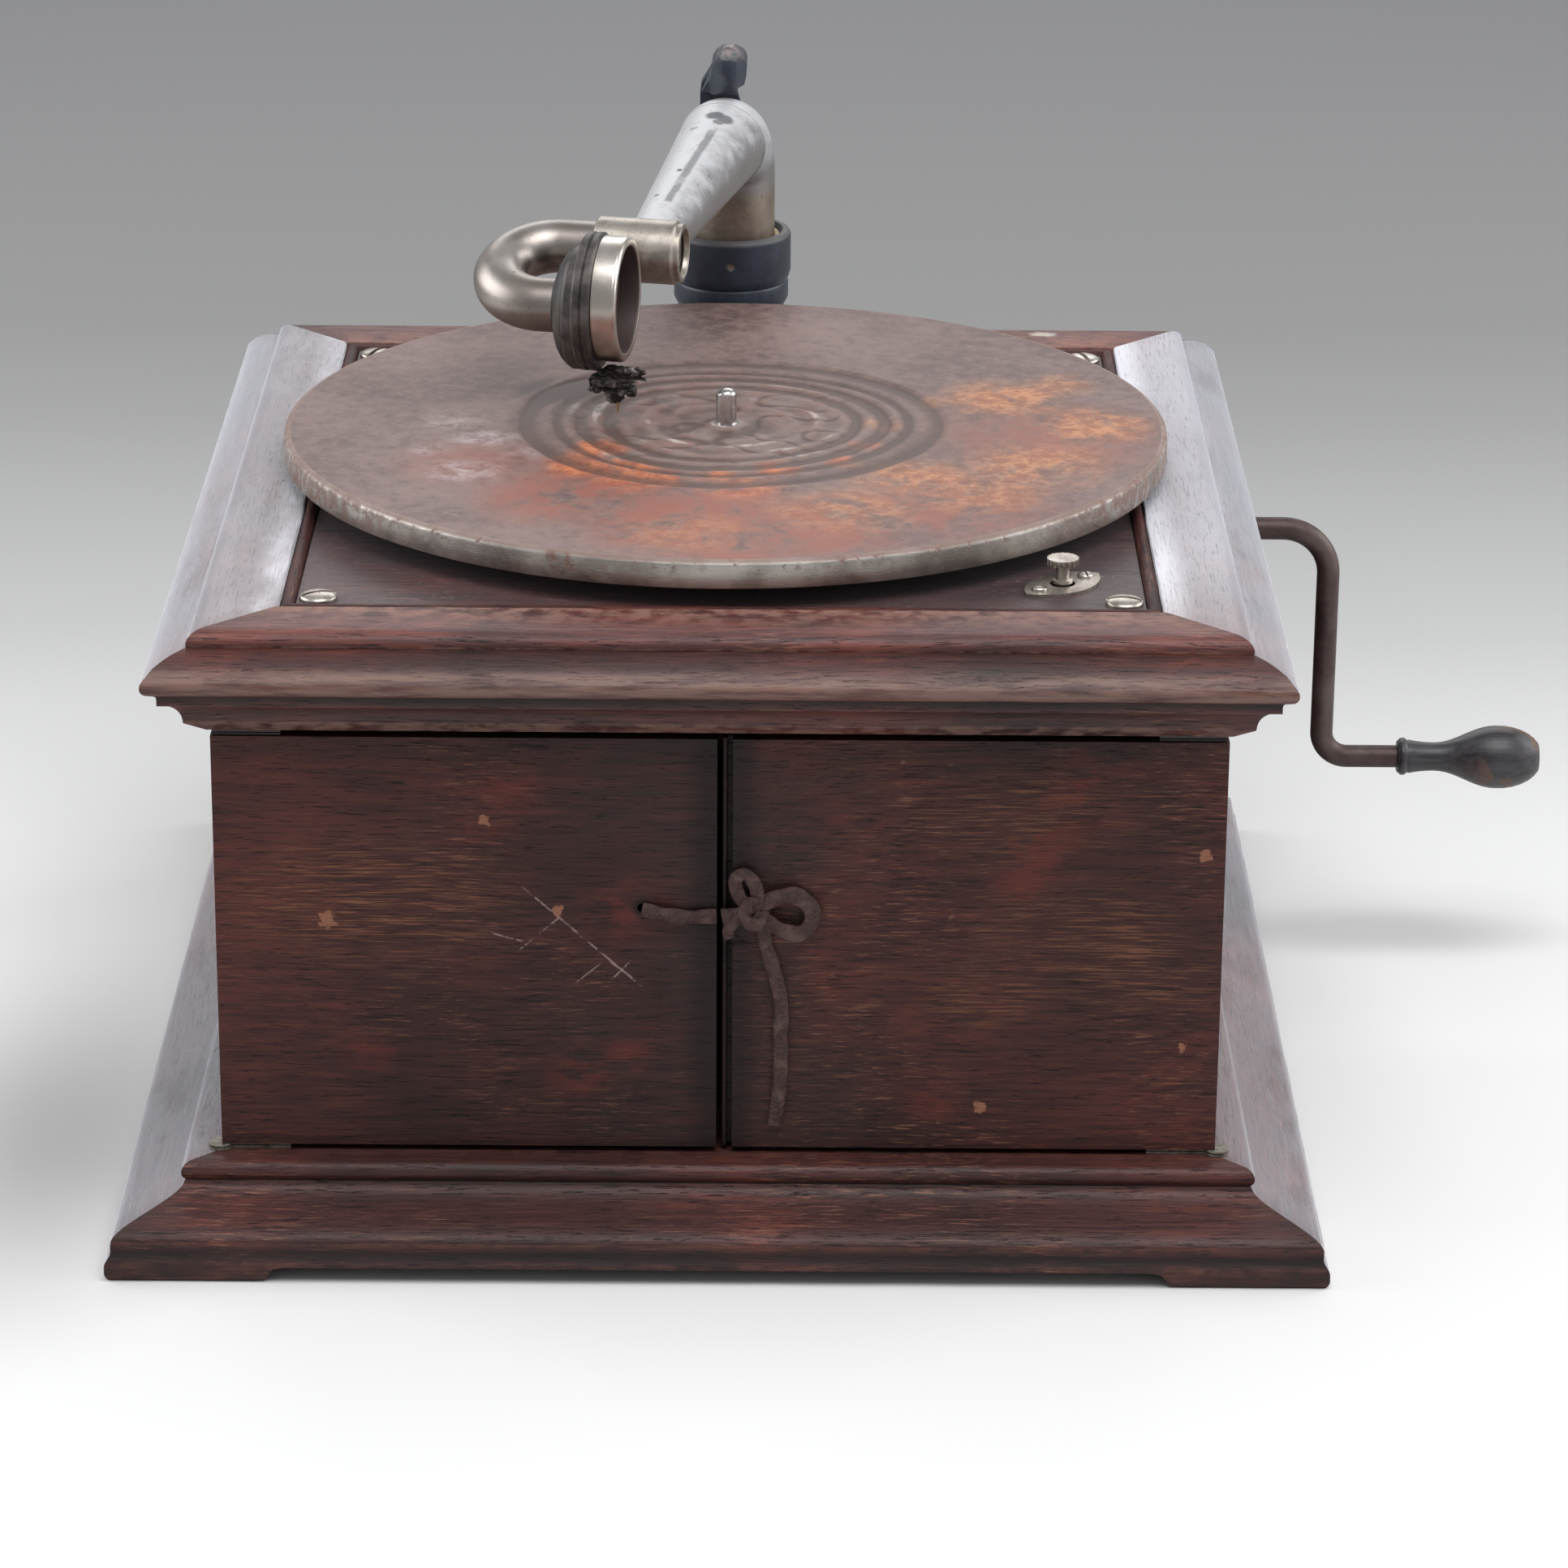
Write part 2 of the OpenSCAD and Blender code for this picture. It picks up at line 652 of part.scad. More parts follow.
module back_bracket() {
    color(iron)
        difference() {
            union() {
                translate([0, pivot_y, 0]) collar_profile(collar_bore);
                translate([0, pivot_y, throat_z + elbow_r])
                    cylinder(r = conduit_r, h = collar_low_z - throat_z - elbow_r);
                translate([0, back_y, throat_z + elbow_r])
                    rotate([0, 90, 0])
                        rotate_extrude(angle = 90)
                            translate([elbow_r, 0]) circle(r = conduit_r);
                translate([-flange_w / 2, back_y, throat_z - flange_w / 2])
                    cube([flange_w, flange_t, flange_w]);
                translate([0, pivot_y, 0])
                    intersection() {
                        rotate([90, 0, 0])
                            linear_extrude(height = big, center = true) polygon(strap_front);
                        rotate([90, 0, 90])
                            linear_extrude(height = big, center = true) polygon(strap_side);
                        linear_extrude(height = big) polygon(strap_plan);
                    }
            }
            translate([0, pivot_y, throat_z + elbow_r])
                cylinder(r = conduit_bore, h = shelf_z - throat_z - elbow_r + 0.01);
            translate([0, back_y, throat_z + elbow_r])
                rotate([0, 90, 0])
                    rotate_extrude(angle = 90)
                        translate([elbow_r, 0]) circle(r = conduit_bore);
            translate([0, back_y - 1, throat_z])
                rotate([-90, 0, 0]) cylinder(r = conduit_bore, h = 1.05);
            translate([0, pivot_y, shelf_z])
                cylinder(r = collar_bore, h = collar_top_z - shelf_z + 1);
            at_bracket_screws(back_y - 1) cylinder(r = bracket_screw_r, h = flange_t + 2);
        }
}

module bracket_screws() {
    color(steel)
        at_bracket_screws(back_y + flange_t)
            slotted_screw(bracket_screw_r, flange_t + back_t - 1, 4, 1.8, 1);
}

module arm_bushing() {
    color(brass)
        translate([0, pivot_y, shelf_z])
            difference() {
                cylinder(r = collar_bore, h = collar_top_z - shelf_z - 1.6);
                translate([0, 0, -1])
                    cylinder(r = riser_r + run_gap, h = collar_top_z - shelf_z + 2);
            }
}

// The arm's own frame: x across the arm, y along it, pivot on the z axis
module arm_frame() {
    translate([0, pivot_y, 0]) rotate([0, 0, -arm_angle]) children();
}

elbow_bend_r = 17;
elbow_rise = 2.4;
arm_level_z = crown_z - riser_r + elbow_rise;
arm_slope = 5.4;
taper_yaw = 1.4;
elbow_end_y = -elbow_bend_r - elbow_bend_r * sin(arm_slope);
elbow_end_z = arm_level_z - elbow_bend_r + elbow_bend_r * cos(arm_slope);
taper_len = (arm_reach + elbow_end_y) / cos(arm_slope);
cross_z = elbow_end_z - taper_len * sin(arm_slope);
taper_tip_x = -(arm_reach + elbow_end_y) * sin(taper_yaw);
riser_low_z = shelf_z + fit;
seam_in = 1.5;
seam_step = 0.1;

// Riser, elbow and a taper let into the elbow's end
module arm_bore(inset) {
    translate([0, 0, riser_low_z - (inset > 0 ? 1 : 0)])
        cylinder(r = riser_r - inset, h = arm_level_z - elbow_bend_r - riser_low_z + (inset > 0 ? 1 : 0));
    translate([0, -elbow_bend_r, arm_level_z - elbow_bend_r])
        rotate([90, 0, 90])
            rotate_extrude(angle = 90 + arm_slope)
                translate([elbow_bend_r, 0]) circle(r = riser_r - inset);
    translate([0, elbow_end_y, elbow_end_z])
        rotate([90 + arm_slope, 0, -taper_yaw])
            translate([0, 0, -seam_in])
                cylinder(r1 = riser_r - seam_step - inset, r2 = arm_tip_r - inset,
                    h = taper_len + seam_in + (inset > 0 ? 1 : 0));
}

module cross_axis() {
    translate([0, -arm_reach, cross_z]) rotate([0, 90, 0]) children();
}

module tonearm() {
    color([0.9, 0.9, 0.92])
        arm_frame()
            difference() {
                arm_bore(0);
                arm_bore(arm_wall);
                cross_axis() cylinder(r = cross_r, h = 80, center = true);
            }
}

cross_left = -20.8;
cross_right = 8.4;
module cross_tube() {
    color(nickel)
        arm_frame()
            difference() {
                cross_axis()
                    translate([0, 0, cross_left])
                        rotate_extrude()
                            polygon([
                                [neck_r + run_gap, 0], [cross_r - 0.8, 0], [cross_r, 0.8],
                                [cross_r, cross_right - cross_left - 1], [cross_r - 1, cross_right - cross_left],
                                [cross_r - 1, cross_right - cross_left + 1.6],
                                [cross_r - 2.6, cross_right - cross_left + 2],
                                [cross_r - 3.4, cross_right - cross_left],
                                [neck_r + run_gap, cross_right - cross_left - 1.6]
                            ]);
                translate([taper_tip_x, -arm_reach + cross_r + 1, cross_z])
                    rotate([90 + arm_slope, 0, 0])
                        cylinder(r = arm_tip_r - arm_wall, h = cross_r);
            }
}

// Screw that plugs the right end of the cross tube
plug_t = 1.4;
neck_end_x = 4.4;
module cross_tube_screw() {
    color(steel)
        arm_frame()
            cross_axis()
                translate([0, 0, neck_end_x + fit]) {
                    difference() {
                        cylinder(r = neck_r - 1.4, h = plug_t + 1.6);
                        translate([-neck_r, -0.6, plug_t + 0.6]) cube([2 * neck_r, 1.2, 2]);
                    }
                    cylinder(r = neck_r, h = plug_t);
                }
}

// Gooseneck: a U of tube that turns in the cross tube and carries the sound box
neck_span = 37.1;
neck_drop = 18.1;
neck_bend_x = -32.7;
neck_wall = 1;
box_back_x = -27;
module neck_frame() {
    translate([0, -arm_reach, cross_z]) rotate([neck_drop, 0, 0]) children();
}

module neck_path(r) {
    translate([neck_bend_x, 0, 0]) rotate([0, 90, 0]) cylinder(r = r, h = neck_end_x - neck_bend_x);
    translate([neck_bend_x, -neck_span, 0]) rotate([0, 90, 0]) cylinder(r = r, h = box_back_x - neck_bend_x);
    translate([neck_bend_x, -neck_span / 2, 0])
        rotate([0, 0, 90])
            rotate_extrude(angle = 180) translate([neck_span / 2, 0]) circle(r = r);
}

module gooseneck() {
    color(nickel)
        arm_frame()
            neck_frame()
                difference() {
                    neck_path(neck_r);
                    difference() {
                        neck_path(neck_r - neck_wall);
                        translate([box_back_x, -neck_span - 15, -15]) cube([3, 30, 30]);
                    }
                    translate([box_back_x - 2, -neck_span, 0])
                        rotate([0, 90, 0]) cylinder(r = neck_r - neck_wall, h = 3);
                    translate([taper_tip_x, 0, 0])
                        rotate([-neck_drop, 0, 0])
                            rotate([90, 0, 0])
                                translate([0, 0, -20]) cylinder(r = arm_tip_r - arm_wall, h = 20);
                    translate([neck_end_x - 2, 0, 0]) rotate([0, 90, 0]) cylinder(r = neck_r - neck_wall, h = 3);
                }
}

// The sound box joins the gooseneck below its own axis, so its back lies lower than its ring
back_drop = 3.7;
body_drop = 1.3;
box_y = -arm_reach - neck_span * cos(neck_drop);
box_z = cross_z - neck_span * sin(neck_drop) + back_drop;
module box_axis(drop) {
    arm_frame() translate([0, box_y, box_z - drop]) rotate([0, 90, 0]) children();
}

body_back_x = -21.5;
body_step_x = -17.2;
body_front_x = -10.7;
face_x = -1.8;
back_r = 21.5;
box_bore = 5;
gasket_r = neck_r + 1.8;
gasket_t = 1.1;
module soundbox_back() {
    color(iron)
        box_axis(back_drop)
            translate([0, 0, box_back_x])
                rotate_extrude()
                    polygon([[box_bore, 0], [gasket_r, 0], [gasket_r, gasket_t], [gasket_r + 2.4, gasket_t],
                        [16.4, gasket_t + 1.1], [18.8, gasket_t + 2.6], [back_r - 1, body_back_x - box_back_x],
                        [box_bore, body_back_x - box_back_x]]);
}

// Body: an eccentric rear part and the flange that carries the ring
groove_x = -13.9;
groove_d = 0.7;
chamber_r = 17;
module soundbox_body() {
    color([0.25, 0.24, 0.24])
        difference() {
            union() {
                box_axis(back_drop)
                    rotate_extrude()
                        polygon([[0, body_back_x], [back_r - 1, body_back_x], [back_r, body_back_x + 1.6],
                            [back_r, body_step_x], [0, body_step_x]]);
                box_axis(body_drop)
                    rotate_extrude()
                        polygon([[0, body_step_x], [box_r - 0.8, body_step_x], [box_r, body_step_x + 0.8],
                            [box_r, groove_x - groove_d], [box_r - groove_d, groove_x],
                            [box_r, groove_x + groove_d], [box_r, body_front_x - 0.8],
                            [box_r - 0.8, body_front_x], [0, body_front_x]]);
            }
            box_axis(0)
                rotate_extrude()
                    polygon([[0, body_front_x + 1], [chamber_r, body_front_x + 1], [chamber_r, body_step_x],
                        [box_bore, body_step_x - 3], [0, body_step_x - 3]]);
            box_axis(back_drop)
                translate([0, 0, body_back_x - 1]) cylinder(r = box_bore, h = body_step_x - body_back_x + 1);
        }
}

diaphragm_x = body_front_x + 1.8;
diaphragm_r = chamber_r + 1.3;
module soundbox_ring() {
    ring_bore = diaphragm_r + 0.1;
    color(nickel)
        box_axis(0)
            rotate_extrude()
                polygon(concat(
                    [[ring_bore, body_front_x], [face_r, body_front_x]],
                    arc(face_r - 1.6, face_x - 1.6, 1.6, 0, 90, 5),
                    [[ring_bore + 0.5, face_x], [ring_bore, face_x - 0.5]]));
}

module diaphragm() {
    color([0.75, 0.7, 0.6])
        box_axis(0)
            translate([0, 0, body_front_x]) cylinder(r = diaphragm_r, h = diaphragm_x - body_front_x);
}

// Stylus bar: from the middle of the diaphragm over the ring down to the needle socket.
// The needle leans forward from the sound box to the record, and all that is low enough to
// meet the record pin passes behind it as the arm swings.
needle_x = -4.5;
socket_at = 26.8;
socket_len = 9.1;
socket_r = 2.8;
socket_end_r = 1.6;
foot_half = 2.2;
socket_foot = 1.2;
clamp_at = 5;
clamp_hole_r = 1.28;
bar_x = face_x + 0.4;
bar_t = 1.7;
module needle_line() {
    arm_frame() translate([needle_x, box_y, box_z]) rotate([-needle_lean, 0, 0]) rotate([180, 0, 0]) children();
}

module stylus_bar() {
    foot_x = body_step_x + 1 - needle_x;
    front_x = bar_x + bar_t - needle_x;
    color(steel)
        difference() {
            needle_line() {
                translate([0, 0, socket_at - socket_foot])
                    rotate_extrude()
                        polygon([[0, 0], [socket_r, 0], [socket_r, 1.8], [socket_end_r, socket_len], [0, socket_len]]);
                translate([foot_x, -foot_half, socket_at - socket_foot])
                    cube([front_x - foot_x, 2 * foot_half, 3.2]);
                translate([front_x - bar_t, -1.5, -2]) cube([bar_t, 3, socket_at + 2]);
                translate([diaphragm_x - needle_x, 0, 0])
                    rotate([0, 90, 0]) cylinder(r = 1.3, h = bar_x - diaphragm_x + 1);
            }
            needle_line() translate([0, 0, socket_at]) cylinder(r = 0.85, h = socket_len);
            needle_line()
                translate([0, 0, socket_at + clamp_at]) rotate([0, 90, 0]) cylinder(r = clamp_hole_r, h = 10);
        }
}

platter_z = top_z + turntable_lift + turntable_rim_h;
needle_lift = 0.15;
needle_tip_at = (box_z - platter_z - needle_lift) / cos(needle_lean);
module needle() {
    color(nickel)
        needle_line() {
            translate([0, 0, socket_at + 0.4]) cylinder(r = 0.75, h = needle_tip_at - socket_at - 5.4);
            translate([0, 0, needle_tip_at - 5]) cylinder(r1 = 0.75, r2 = 0.25, h = 5);
        }
}

// Thumb screw that clamps the needle
module needle_screw() {
    head_at = socket_r + fit;
    color(nickel)
        needle_line()
            translate([0, 0, socket_at + clamp_at])
                rotate([0, 90, 0]) {
                    translate([0, 0, 1.1]) cylinder(r = clamp_hole_r - 0.08, h = head_at - 1);
                    translate([0, 0, head_at])
                        rotate_extrude()
                            polygon([[0, 0], [1.8, 0], [2.2, 0.5], [2.2, 2.7], [1.7, 3.2], [0, 3.2]]);
                }
}

// Turntable: pressed plate with a turned-down rim and a hub
// The spindle fills the hub's bore, and the thinner record pin stands on its end.
spindle_r = 4.5;
pin_tip_h = 2.2;
hub_r = 14;
hub_h = 10;
rim_round = 2.2;
module turntable() {
    color([0.6, 0.53, 0.5])
        translate([0, spindle_y, platter_z])
            rotate_extrude($fn = 180)
                polygon(concat(
                    [[spindle_r + run_gap, 0], [turntable_r - rim_round, 0]],
                    arc(turntable_r - rim_round, -rim_round, rim_round, 80, 0, 5),
                    [[turntable_r, -turntable_rim_h + 0.4], [turntable_r - 0.4, -turntable_rim_h]],
                    [[turntable_r - turntable_t, -turntable_rim_h]],
                    [[turntable_r - turntable_t, -turntable_t - 1.4]],
                    [[turntable_r - turntable_t - 1.4, -turntable_t]],
                    [[hub_r + 2, -turntable_t], [hub_r, -turntable_t - 2]],
                    [[hub_r, -hub_h], [spindle_r + run_gap, -hub_h]]));
}

// Motor heights, from the bottom plate up
plate_t = 4;
great_z = motor_low_z + plate_t + 4;
wheel_t = 4;
drum_z = great_z + wheel_t;
crown_z0 = drum_z + barrel_h + 5;
mid_wheel_z = crank_z - 5;
spindle_wheel_z = drum_z + barrel_h - 10;
motor_high_z = board_low_z - 13.5;
shoulder_z = platter_z - hub_h;

module spindle() {
    color(nickel)
        translate([0, spindle_y, 0]) {
            translate([0, 0, motor_low_z + 0.6])
                cylinder(r = spindle_r, h = platter_z - motor_low_z - 0.6);
            translate([0, 0, shoulder_z - 4]) cylinder(r = 9, h = 4);
            translate([0, 0, platter_z]) cylinder(r = pin_r, h = pin_h - pin_tip_h);
            translate([0, 0, platter_z + pin_h - pin_tip_h])
                rotate_extrude()
                    polygon(concat([[0, 0], [pin_r, 0]],
                        [for (i = [1:5]) let (a = 90 * i / 6) [pin_r * cos(a), pin_tip_h * sin(a)]],
                        [[0, pin_tip_h]]));
        }
}

// Spur wheel with straight-sided teeth
tooth_fill = 0.40;
tip_fill = 0.22;
module spur(n, h, bore) {
    rp = tooth_m * n / 2;
    ro = rp + 0.85 * tooth_m;
    ri = rp - 1.2 * tooth_m;
    pitch = 360 / n;
    difference() {
        linear_extrude(height = h)
            polygon([for (i = [0:n - 1]) each [
                [ri * cos((i - tooth_fill * 0.62) * pitch), ri * sin((i - tooth_fill * 0.62) * pitch)],
                [ro * cos((i - tip_fill / 2) * pitch), ro * sin((i - tip_fill / 2) * pitch)],
                [ro * cos((i + tip_fill / 2) * pitch), ro * sin((i + tip_fill / 2) * pitch)],
                [ri * cos((i + tooth_fill * 0.62) * pitch), ri * sin((i + tooth_fill * 0.62) * pitch)]
            ]]);
        if (bore > 0) translate([0, 0, -1]) cylinder(r = bore, h = h + 2);
    }
}

// Places of the motor's upright arbors, worked out from the tooth counts
barrel_left = 24;
axis_b = [-barrel_left, crank_y];
reach_bm = tooth_m * (great_n + mid_pinion_n) / 2;
reach_ms = tooth_m * (mid_wheel_n + spindle_pinion_n) / 2;
reach_sg = tooth_m * (spindle_wheel_n + governor_n) / 2;
to_b = axis_b - axis_s;
dist_sb = norm(to_b);
along_sb = (reach_ms * reach_ms - reach_bm * reach_bm + dist_sb * dist_sb) / (2 * dist_sb);
across_sb = sqrt(reach_ms * reach_ms - along_sb * along_sb);
unit_sb = to_b / dist_sb;
axis_m = axis_s + along_sb * unit_sb + across_sb * [-unit_sb[1], unit_sb[0]];
governor_dir = -30;
axis_g = axis_s + reach_sg * [cos(governor_dir), sin(governor_dir)];
function heading(a, b) = atan2(b[1] - a[1], b[0] - a[0]);

module at_axis(p, z) {
    translate([p[0], p[1], z]) children();
}

module spindle_gears() {
    color(brass) {
        at_axis(axis_s, mid_wheel_z - 1)
            rotate([0, 0, heading(axis_s, axis_m) + 180 / spindle_pinion_n])
                spur(spindle_pinion_n, wheel_t + 2, spindle_r);
        at_axis(axis_s, spindle_wheel_z)
            rotate([0, 0, heading(axis_s, axis_g)]) spur(spindle_wheel_n, wheel_t, spindle_r);
    }
}

mid_arbor_r = 3;
module mid_arbor() {
    color(steel) {
        at_axis(axis_m, motor_low_z + 0.6)
            cylinder(r = mid_arbor_r, h = motor_high_z + plate_t - motor_low_z - 1.2);
        at_axis(axis_m, great_z - 1)
            rotate([0, 0, heading(axis_m, axis_b) + 180 / mid_pinion_n]) spur(mid_pinion_n, wheel_t + 2, 0);
        at_axis(axis_m, mid_wheel_z)
            rotate([0, 0, heading(axis_m, axis_s)]) spur(mid_wheel_n, wheel_t, 0);
    }
}

// Barrel with the great wheel below it and a lid pressed in
arbor_r = 4;
drum_wall = 1.6;
lid_t = 1.5;
module spring_barrel() {
    color(steel)
        difference() {
            union() {
                at_axis(axis_b, great_z)
                    rotate([0, 0, heading(axis_b, axis_m)]) spur(great_n, wheel_t, 0);
                at_axis(axis_b, drum_z - 0.5) cylinder(r = barrel_r, h = barrel_h + 0.5);
            }
            at_axis(axis_b, great_z - 1) cylinder(r = arbor_r + run_gap, h = wheel_t + barrel_h + 3);
            at_axis(axis_b, drum_z)
                cylinder(r = barrel_r - drum_wall, h = barrel_h - lid_t);
        }
}

spring_turns = 6;
spring_t = 1;
module mainspring() {
    n = spring_turns * 18;
    r_in = arbor_r + 2.5;
    r_out = barrel_r - drum_wall - 1.4;
    function r_at(i) = r_in + (r_out - r_in) * i / n;
    color([0.35, 0.4, 0.5])
        at_axis(axis_b, drum_z + 1)
            linear_extrude(height = barrel_h - lid_t - 2)
                polygon(concat(
                    [for (i = [0:n]) let (a = i * 20) [r_at(i) * cos(a), r_at(i) * sin(a)]],
                    [for (k = [0:n]) let (i = n - k, a = i * 20, r = r_at(i) + spring_t)
                        [r * cos(a), r * sin(a)]]));
}

// Arbor with a crown wheel that the winding shaft's pinion turns
crown_n = 36;
crank_n = 12;
crown_m = 1.1;
crown_face = 4;
crown_pitch_r = crown_m * crown_n / 2;
crown_pitch_z = crank_z - crown_m * crank_n / 2;
crown_root_z = crown_pitch_z - 1.5 * crown_m;
crown_tip_z = crown_pitch_z + 0.75 * crown_m;
module barrel_arbor() {
    tooth_w = 0.34 * PI * crown_m;
    color(steel) {
        at_axis(axis_b, motor_low_z + 0.6)
            cylinder(r = arbor_r, h = motor_high_z + plate_t - motor_low_z - 1.2);
        at_axis(axis_b, crown_z0 - 1) cylinder(r = 8, h = 2);
        at_axis(axis_b, crown_z0)
            cylinder(r = crown_pitch_r + crown_face / 2 + 1, h = crown_root_z - crown_z0);
        for (i = [0:crown_n - 1])
            at_axis(axis_b, crown_root_z - 0.2)
                rotate([0, 0, (i + 0.5) * 360 / crown_n])
                    translate([crown_pitch_r - crown_face / 2, 0, 0])
                        rotate([90, 0, 90])
                            linear_extrude(height = crown_face)
                                polygon([
                                    [-tooth_w * 0.66, 0], [tooth_w * 0.66, 0],
                                    [tooth_w * 0.26, crown_tip_z - crown_root_z + 0.2],
                                    [-tooth_w * 0.26, crown_tip_z - crown_root_z + 0.2]
                                ]);
    }
}

socket_x = half_w - side_t - 6;
shaft_r = 5;
shaft_x0 = axis_b[0] + crown_pitch_r - crown_face / 2 + fit;
socket_depth = 12;
module winding_shaft() {
    rp = crown_m * crank_n / 2;
    ro = rp + 0.8 * crown_m;
    ri = rp - 1.25 * crown_m;
    pitch = 360 / crank_n;
    color(steel)
        translate([shaft_x0, crank_y, crank_z])
            rotate([0, 90, 0]) {
                difference() {
                    cylinder(r = shaft_r, h = socket_x - shaft_x0 + 5);
                    translate([0, 0, socket_x - shaft_x0 - socket_depth])
                        cylinder(r = crank_rod_r + 0.03, h = 30);
                }
                linear_extrude(height = crown_face - 2 * fit)
                    polygon([for (i = [0:crank_n - 1]) each [
                        [ri * cos((i - 0.23) * pitch), ri * sin((i - 0.23) * pitch)],
                        [ro * cos((i - 0.09) * pitch), ro * sin((i - 0.09) * pitch)],
                        [ro * cos((i + 0.09) * pitch), ro * sin((i + 0.09) * pitch)],
                        [ri * cos((i + 0.23) * pitch), ri * sin((i + 0.23) * pitch)]
                    ]]);
            }
}

// Two plates on pillars, with a bearing lug for the winding shaft
plate_x0 = -82;
plate_x1 = 62;
plate_y0 = spindle_y - 45.5;
plate_y1 = spindle_y + 118.5;
pillar_xy = [for (p = [[-76, -33.5], [56, -9.5], [-76, 106.5], [52, 108.5]]) p + axis_s];
pillar_r = 4;
lug_x = 30;
module motor_plate(z) {
    difference() {
        translate([plate_x0, plate_y0, z]) cube([plate_x1 - plate_x0, plate_y1 - plate_y0, plate_t]);
        at_axis(axis_s, z - 1) cylinder(r = spindle_r + run_gap, h = plate_t + 2);
        at_axis(axis_m, z - 1) cylinder(r = mid_arbor_r + run_gap, h = plate_t + 2);
        at_axis(axis_b, z - 1) cylinder(r = arbor_r + run_gap, h = plate_t + 2);
        at_axis(axis_g, z - 1) cylinder(r = governor_r + run_gap, h = plate_t + 2);
        for (p = motor_bolt_xy) at_axis(p, z - 1) cylinder(r = bolt_r, h = plate_t + 2);
    }
}

module motor_plates() {
    color(iron) {
        motor_plate(motor_low_z);
        motor_plate(motor_high_z);
        for (p = pillar_xy)
            at_axis(p, motor_low_z + plate_t)
                cylinder(r = pillar_r, h = motor_high_z - motor_low_z - plate_t);
        difference() {
            translate([lug_x, crank_y - 9, crank_z - 9])
                cube([8, 18, motor_high_z - crank_z + 9]);
            translate([lug_x - 1, crank_y, crank_z])
                rotate([0, 90, 0]) cylinder(r = shaft_r + run_gap, h = 10);
        }
        at_axis(lever_pivot, lever_z - 2) cylinder(r = lever_stud_r, h = motor_high_z - lever_z + 2);
        at_axis(lever_pivot, lever_z - 2) cylinder(r = lever_hub_r - 1, h = 2 - fit);
    }
}

// Bolts through the board, each with a loose spacer between board and plate
bolt_head_r = 5.5;
nut_t = 3.5;
spacer_r = 7;
module motor_bolts() {
    color(steel)
        for (p = motor_bolt_xy) {
            at_axis(p, motor_high_z - nut_t) cylinder(r = bolt_r - 0.1, h = board_z - motor_high_z + nut_t);
            at_axis(p, board_z) cylinder(r = bolt_head_r, h = 1.6);
            at_axis(p, motor_high_z - nut_t) cylinder(r = bolt_head_r, h = nut_t, $fn = 6);
            at_axis(p, motor_high_z + plate_t)
                difference() {
                    cylinder(r = spacer_r, h = board_low_z - motor_high_z - plate_t);
                    translate([0, 0, -1]) cylinder(r = bolt_r, h = board_low_z - motor_high_z);
                }
        }
}

// Governor: a pinion, a disc that the brake rubs and three balls on leaf springs
governor_r = 2;
disc_z = motor_high_z - 9;
disc_r = 13;
disc_t = 1.6;
spring_low_z = spindle_wheel_z + wheel_t + 5;
spring_high_z = disc_z - 4;
module governor_shaft() {
    color(brass) {
        at_axis(axis_g, motor_low_z + 0.6)
            cylinder(r = governor_r, h = motor_high_z + plate_t - motor_low_z - 1.2);
        at_axis(axis_g, spindle_wheel_z - 1)
            rotate([0, 0, heading(axis_g, axis_s) + 180 / governor_n]) spur(governor_n, wheel_t + 2, 0);
        at_axis(axis_g, spring_low_z) cylinder(r = 5, h = 4);
        at_axis(axis_g, spring_high_z - 4) cylinder(r = 5, h = disc_z - spring_high_z + 4);
        at_axis(axis_g, disc_z) cylinder(r = disc_r, h = disc_t);
    }
}

module governor_balls() {
    rise = spring_high_z - spring_low_z;
    bow = 6;
    leaf_t2 = 0.4;
    color(steel)
        for (k = [0:2])
            at_axis(axis_g, spring_low_z)
                rotate([0, 0, k * 120]) {
                    rotate([90, 0, 0])
                        linear_extrude(height = 3, center = true)
                            polygon(concat(
                                [for (i = [0:10]) [5 + bow * sin(18 * i), rise * i / 10]],
                                [for (k2 = [0:10]) let (i = 10 - k2)
                                    [5 + leaf_t2 + bow * sin(18 * i), rise * i / 10]]));
                    translate([5 + bow + 2.4, 0, rise / 2]) sphere(r = 3.2);
                }
}

// Brake lever on a stud under the top plate: the cam on the regulator's stem pushes its
// tail, and that swings its pad in towards the rim of the governor disc
lever_pivot = axis_s + [55, -38.5];
lever_stud_r = 2;
lever_hub_r = 4.5;
lever_z = disc_z - 5;
lever_t = 2.4;
lever_end_r = 3;
pad_r = 2;
pad_gap = 1.3;
cam_r = 4.6;
cam_off = 1.6;
cam_gap = 0.55;
tail_dir = 208;
tail_reach = cam_r - cam_off + lever_end_r + cam_gap;
lever_tail = [regulator_x + tail_reach * cos(tail_dir), regulator_y + tail_reach * sin(tail_dir)];
pad_reach = disc_r + pad_gap + pad_r;
pad_heading = heading(axis_g, lever_pivot) - acos(pad_reach / norm(lever_pivot - axis_g));
lever_pad = axis_g + pad_reach * [cos(pad_heading), sin(pad_heading)];
